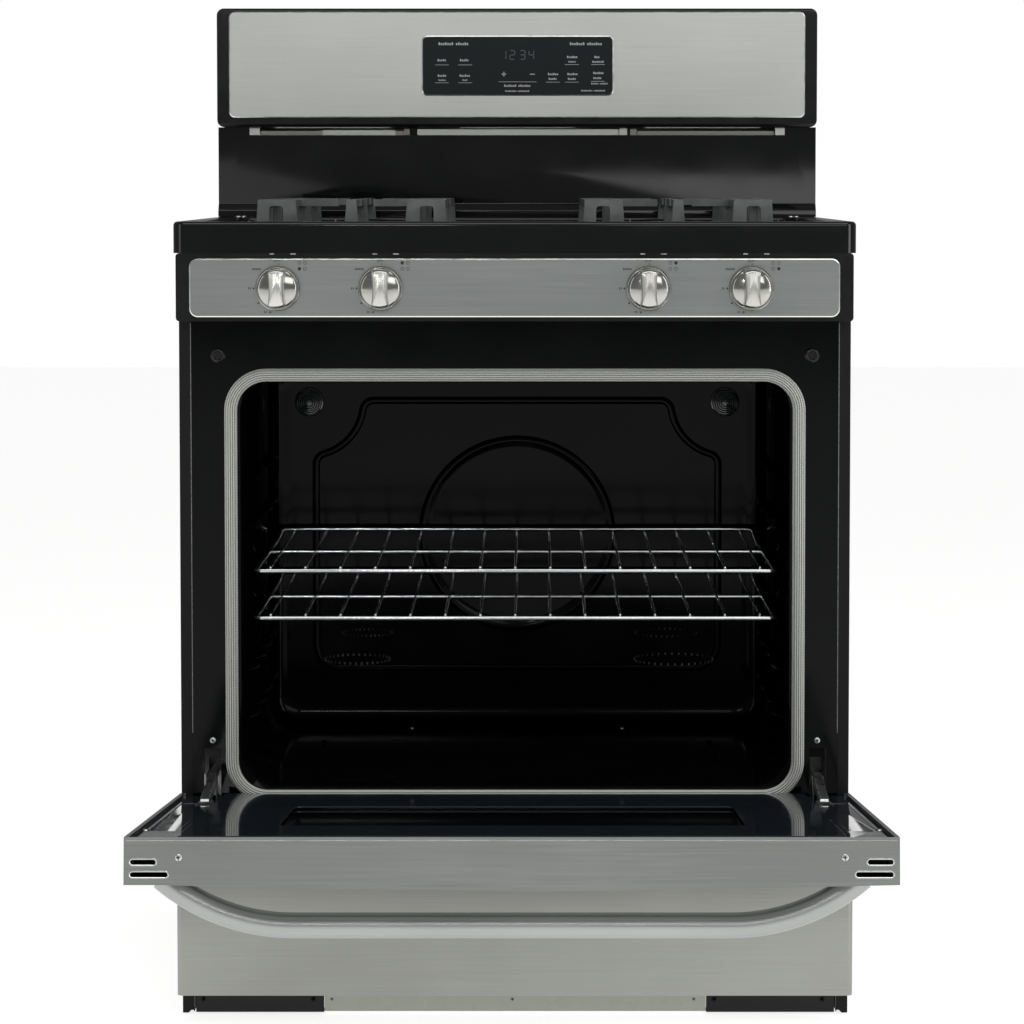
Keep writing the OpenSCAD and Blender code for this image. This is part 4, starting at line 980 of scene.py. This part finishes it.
keys = {
    "face": 487.7, "ink": 0.08,
    # a word is x, z, width, height; each is drawn as a row of small blocks
    "words": (
        (-79, 1117.5, 40, 3.4), (-94, 1097, 12.5, 2.8), (-66, 1097, 12, 2.8), (-94, 1077.6, 12, 2.8),
        (-94, 1072, 10, 2), (-65, 1077.6, 15, 2.8), (-65, 1072, 7.6, 2), (0.5, 1065, 34, 2.8),
        (0.5, 1058.3, 31, 2), (87, 1117.5, 42, 3.4), (69.5, 1101, 14, 2.8), (70, 1095, 11, 2),
        (101, 1101, 8, 2.8), (102, 1095, 15, 2.6), (45.5, 1079.6, 14, 2.8), (45.8, 1073.6, 12.4, 2.6),
        (69.8, 1079.6, 13.6, 2.8), (69.8, 1073.6, 12.2, 2.6), (102.5, 1081, 14, 2.8),
        (102, 1074.6, 12.4, 2.6), (103.6, 1067.6, 21, 2), (96, 1058.8, 31, 2),
    ),
    "lines": (
        (-94.5, 1091, 17.5), (-65.3, 1091, 17.5), (-94.5, 1068.6, 17.5), (-65.3, 1068.6, 17.5),
        (0.6, 1069.8, 47.5), (69, 1091.4, 17.7), (101.8, 1091.4, 17.3), (45, 1069.4, 17.5),
        (69, 1069.4, 17.7), (101.8, 1070.4, 17.3),
    ),
    "digits": "1234", "digitX": (-17, -6, 7, 18), "digitZ": 1103.5, "digitWidth": 6, "digitHeight": 11,
}
segments = {"1": "bc", "2": "abged", "3": "abgcd", "4": "fgbc"}


def buildKeys(shape):
    y, t = keys["face"], keys["ink"]
    for x, z, width, height in keys["words"]:
        pitch = height * 0.8
        count = max(2, int(width / pitch))
        for i in range(count):
            if count > 8 and i == count // 2:
                continue
            tall = height * (1 if i % 3 == 0 else 0.72)
            middle = x - width / 2 + pitch * (i + 0.5)
            plate(shape, bar(middle, z - (height - tall) / 2, pitch * 0.62, tall), y, t)
    for x, z, width in keys["lines"]:
        plate(shape, bar(x, z, width, 0.45), y, t)
    plate(shape, bar(-16.5, 1079.4, 6, 0.9), y, t)
    plate(shape, bar(-16.5, 1079.4, 0.9, 6), y, t)
    plate(shape, bar(19.3, 1079.4, 6.4, 0.9), y, t)


def buildDigits(shape):
    y, t = keys["face"], keys["ink"]
    w, h = keys["digitWidth"] / 2, keys["digitHeight"] / 2
    where = {"a": (0, h, True), "g": (0, 0, True), "d": (0, -h, True), "b": (w, h / 2, False),
             "c": (w, -h / 2, False), "f": (-w, h / 2, False), "e": (-w, -h / 2, False)}
    for digit, x in zip(keys["digits"], keys["digitX"]):
        for segment in segments[digit]:
            dx, dz, level = where[segment]
            size = (2 * w - 1, 1) if level else (1, h - 1)
            plate(shape, bar(x + dx, keys["digitZ"] + dz, *size), y, t)


addPiece("keyMarks", meshFrom("keyMarks", buildKeys), silverInk, rootBody)
addPiece("clockDigits", meshFrom("clockDigits", buildDigits), dimInk, rootBody)


displayRim = {"x": 0.8, "z": 1090, "outer": (241.4, 75.4, 7), "inner": (238.6, 72.6, 5.8), "glass": 488.2}


def buildDisplayRim(shape):
    outer, inner = roundedRect(*displayRim["outer"], 6), roundedRect(*displayRim["inner"], 6)
    rings = [[place(x + displayRim["x"], displayRim["glass"] + back, z + displayRim["z"]) for x, z in outline]
             for outline, back in ((outer, 0.4), (outer, -0.3), (inner, -0.7), (inner, 0))]
    skinRings(shape, rings, closeEnds=False)


addPiece("displayRim", meshFrom("displayRim", buildDisplayRim), edgeSteelAndHighlight, rootBody)


# bright rims round the stainless facings, a painted highlight along their rolled edges: width, height, corner
# radius, middle height and face
facingEdges = {"consoleEdge": (724.4, 132.4, 7.2, 1091.2, 488.7), "panelEdge": (721.4, 64.8, 9.2, 826.6, -49.3)}
rolled = {"width": 1.2, "proud": 0.45}


def buildEdge(width, height, radius, z, y):
    def build(shape):
        line, proud = rolled["width"], rolled["proud"]
        outer = roundedRect(width, height, radius, 8)
        inner = roundedRect(width - 2 * line, height - 2 * line, radius - line, 8)
        rings = [[place(px, y - d, pz + z) for px, pz in outline] for outline, d in
                 ((outer, 0.2), (outer, proud * 0.5), (inner, proud), (inner, proud - 0.3))]
        skinRings(shape, rings, closeEnds=False)
    return build


for name, sizes in facingEdges.items():
    addPiece(name, meshFrom(name, buildEdge(*sizes)), edgeSteelAndHighlight, rootBody)
print("controls")


door = {
    "hingeY": -20.2, "hingeZ": 245.7, "open": 84.5, "top": 785, "rim": 1.1,
    "slots": ((358.7, -34.3, 25, 5), (353, -46.4, 36.6, 5)),
}


# takes a point of the shut door to where it is with the door open
def swung(x, y, z):
    angle = math.radians(door["open"])
    dy, dz = y - door["hingeY"], z - door["hingeZ"]
    return place(x, door["hingeY"] + dy * math.cos(angle) - dz * math.sin(angle),
                 door["hingeZ"] + dy * math.sin(angle) + dz * math.cos(angle))


# bright rims round the slots in the door's top edge: painted highlight on the rolled edges of the slots
def buildSlotRims(shape):
    for side in (-1, 1):
        for x, y, length, width in door["slots"]:
            rings = []
            rim = door["rim"]
            for out, rise in ((0.05, -0.8), (0.05, 0.05), (0.4, 0.3), (rim, 0.3), (rim + 0.3, 0)):
                outline = roundedRect(length + 2 * out, width + 2 * out, width / 2 + out - 0.01, 8)
                rings.append([swung(side * x + px, y + py, door["top"] + rise) for px, py in outline])
            skinRings(shape, rings, closeEnds=False)


addPiece("doorSlotRims", meshFrom("doorSlotRims", buildSlotRims), edgeSteelAndHighlight, "door")


def box(shape, low, high, put=place):
    corners = [(x, y, z) for z in (low[2], high[2]) for x, y in
               ((low[0], low[1]), (high[0], low[1]), (high[0], high[1]), (low[0], high[1]))]
    skinRings(shape, [[put(*corner) for corner in corners[:4]], [put(*corner) for corner in corners[4:]]])


# strips of brighter steel on the folded edges of the door's skin, a painted highlight for the light they catch
# round the liner
hems = {"outer": 375.2, "inner": 373.6, "far": 785, "near": 240, "depth": 1.5, "face": -13.7, "rear": -12.9}


def buildHems(shape):
    outer, turn = hems["outer"], hems["far"] - hems["depth"]
    box(shape, (-outer, hems["face"], turn), (outer, hems["rear"], hems["far"] + 0.1), swung)
    for side in (-1, 1):
        edges = sorted((side * hems["inner"], side * outer))
        box(shape, (edges[0], hems["face"], hems["near"]), (edges[1], hems["rear"], turn), swung)


addPiece("doorHems", meshFrom("doorHems", buildHems), edgeSteelAndHighlight, "door")

drawer = {"halfWidth": 378.5, "low": 33, "high": 198, "face": -52, "rear": -37, "fold": 6, "edge": 0.8}


def buildDrawerFront(shape):
    def outline(inset):
        half, fold = drawer["halfWidth"] - inset, drawer["fold"]
        bend = arcPoints((half - fold, drawer["face"] + inset + fold), fold, 0, -90, 9)
        right = [(half, drawer["rear"])] + bend
        return right + [(-x, y) for x, y in reversed(right)]
    low, high, edge = drawer["low"], drawer["high"], drawer["edge"]
    levels = ((edge, low), (edge * 0.3, low + edge * 0.3), (0, low + edge),
              (0, high - edge), (edge * 0.3, high - edge * 0.3), (edge, high))
    skinRings(shape, [[place(x, y, z) for x, y in outline(inset)] for inset, z in levels])


addPiece("drawerFront", meshFrom("drawerFront", buildDrawerFront), drawerSteel, "drawer", ["drawer_front"], 40)

vent = {
    "y": 510, "low": 1003.2,
    # from x, to x, height, how far forward, brightness; the bright parts are a lighter metal as painted
    # highlight on the grille's lips, the dim ones a darker metal as painted shade
    "parts": ((-338, -325, 9, 6, "bright"), (-325, -143, 5.2, 0, "dim"), (-246, -154, 6.4, 0.6, "bright"),
              (-143, -136, 8, 2, "dim"), (-126, 128, 7.4, 5, "bright"), (129, 139, 8.6, 6, "bright"),
              (143, 151, 8, 3, "dim"), (152, 325, 5.2, 0, "dim"), (326, 338, 9, 6, "bright")),
}


def buildVent(kind):
    def build(shape):
        for x0, x1, height, forward, shade in vent["parts"]:
            if shade == kind:
                y = vent["y"] - forward
                box(shape, (x0, y, vent["low"]), (x1, y + 1.5, vent["low"] + height))
    return build


addPiece("ventBright", meshFrom("ventBright", buildVent("bright")), alloy, rootBody, ["vent_grille"])
addPiece("ventDim", meshFrom("ventDim", buildVent("dim")), heatedSteel, rootBody)

# short bright marks in the gap above the control panel: painted highlight standing in for glints seen there
gapGlints = {"y": -48.1, "low": 863.6, "high": 864.7, "spans": ((-9, -4), (14, 20))}


def buildGapGlints(shape):
    for x in knobs["x"]:
        for start, end in gapGlints["spans"]:
            box(shape, (x + start, gapGlints["y"], gapGlints["low"]), (x + end, gapGlints["y"] + 1, gapGlints["high"]))


addPiece("topGapGlints", meshFrom("topGapGlints", buildGapGlints), edgeSteelAndHighlight, rootBody)


# specks of painted highlight along the seam between the front frame and each side panel, standing in for glints
# there
seams = {"inner": 364.0, "outer": 364.9, "face": -0.25, "rear": 0.5, "low": 322, "high": 786}


def buildSeamGlints(shape):
    for side in (-1, 1):
        edges = sorted((side * seams["inner"], side * seams["outer"]))
        box(shape, (edges[0], seams["face"], seams["low"]), (edges[1], seams["rear"], seams["high"]))


addPiece("sideSeamGlints", meshFrom("sideSeamGlints", buildSeamGlints), seamGlintPaint, rootBody)


# pan heads with a cross recess; each point's normal is the way its head faces
def screwTree():
    tree, given = startTree("panScrews", ("Radius", "Height"), ())
    ball = addNode(tree, "GeometryNodeMeshUVSphere", {"Segments": 20, "Rings": 10, "Radius": 1.0}).outputs[0]
    size = addNode(tree, "ShaderNodeCombineXYZ", {
        "X": given["Radius"], "Y": given["Radius"], "Z": given["Height"]}).outputs[0]
    dome = addNode(tree, "GeometryNodeTransform", {"Geometry": ball, "Scale": size}).outputs[0]
    endTree(tree, onPoints(tree, given["Geometry"], dome, "Z"), given)
    return tree


# the cross recess in each head is drawn as two black bars: painted shade in place of the recess
def crossTree():
    tree, given = startTree("screwRecesses", ("Radius", "Height"), ())
    wide = given["Radius"]
    thin = addNode(tree, "ShaderNodeMath", {0: wide, 1: 0.26}, operation="MULTIPLY").outputs[0]
    both = addNode(tree, "GeometryNodeJoinGeometry")
    for x, y in ((wide, thin), (thin, wide)):
        size = addNode(tree, "ShaderNodeCombineXYZ", {"X": x, "Y": y, "Z": given["Height"]}).outputs[0]
        slot = addNode(tree, "GeometryNodeMeshCube", {"Size": size}).outputs["Mesh"]
        tree.links.new(slot, both.inputs[0])
    endTree(tree, onPoints(tree, given["Geometry"], both.outputs[0], "Z"), given)
    return tree


# a tiny triangle at each spot gives its point the way it faces
def facingPoints(name, spots):
    def build(shape):
        for spot, way in spots:
            across = way.orthogonal().normalized() * 1e-6
            other = way.cross(across)
            corners = (spot + across, spot - across / 2 + other, spot - across / 2 - other)
            face = shape.faces.new([shape.verts.new(corner) for corner in corners])
            face.normal_update()
            if face.normal.dot(way) < 0:
                face.normal_flip()
        bmesh.ops.remove_doubles(shape, verts=shape.verts, dist=0)
    return meshFrom(name, build)


domeTree, recessTree = screwTree(), crossTree()
forwards, rearwards, up = Vector((0, -1, 0)), Vector((0, 1, 0)), Vector((0, 0, 1))
doorUp = (swung(0, 0, 1) - swung(0, 0, 0)).normalized()
doorIn = (swung(0, 1, 0) - swung(0, 0, 0)).normalized()
sides = (-1, 1)
bodySpots = (
    [(place(x, 2.4, 313), forwards) for x in (-342, 342)]
    + [(place(side * x, 492, 900), up) for side in sides for x in (345, 352)]
    + [(place(side * 132, y, oven["floor"] + oven["sheet"]), up) for side in sides for y in (30, 440)]
    + [(place(side * 366, 620, z), rearwards) for side in sides for z in (60, 300, 560, 840)]
    + [(place(side * 360, 620, z), rearwards) for side in sides for z in (900, 1020, 1140)])
kickSpots = [(place(x, -1.2, 17), forwards) for x in (-354, -229, 226, 349)]
railSpots = [(place(x, -1.2, 17), forwards) for x in (-208, -3, 203)]
doorSpots = ([(swung(side * 324.2, -29.8, 785), doorUp) for side in sides]
             + [(swung(side * 369, -13.5, 669), doorIn) for side in sides])
screws = {
    # head radius, height, finish, body, the nodes it stands for, spots
    "hingeScrews": (3.6, 2.0, zincPlate, rootBody, ["body_screws"], bodySpots),
    "kickScrews": (3.2, 1.7, blackPaint, rootBody, [], kickSpots),
    "railScrews": (1.9, 1.1, pipeSteel, rootBody, [], railSpots),
    "doorScrews": (3.6, 1.6, zincPlate, "door", ["door_screws"], doorSpots),
}
crossLift, crossHeight = 0.62, 0.8      # shares of the head's height
for name, (radius, height, material, body, replaced, spots) in screws.items():
    inputs = {"Radius": radius / 1000, "Height": height / 1000, "Material": material}
    grow(name, domeTree, inputs, facingPoints(name + "Spots", spots), material, body, replaced)
    lifted = [(spot + way * height * crossLift / 1000, way) for spot, way in spots]
    inputs = {"Radius": radius / 1000, "Height": height * crossHeight / 1000, "Material": darkPrintAndShade}
    grow(name + "Crosses", recessTree, inputs, facingPoints(name + "CrossSpots", lifted), darkPrintAndShade, body)
print("door and screws")
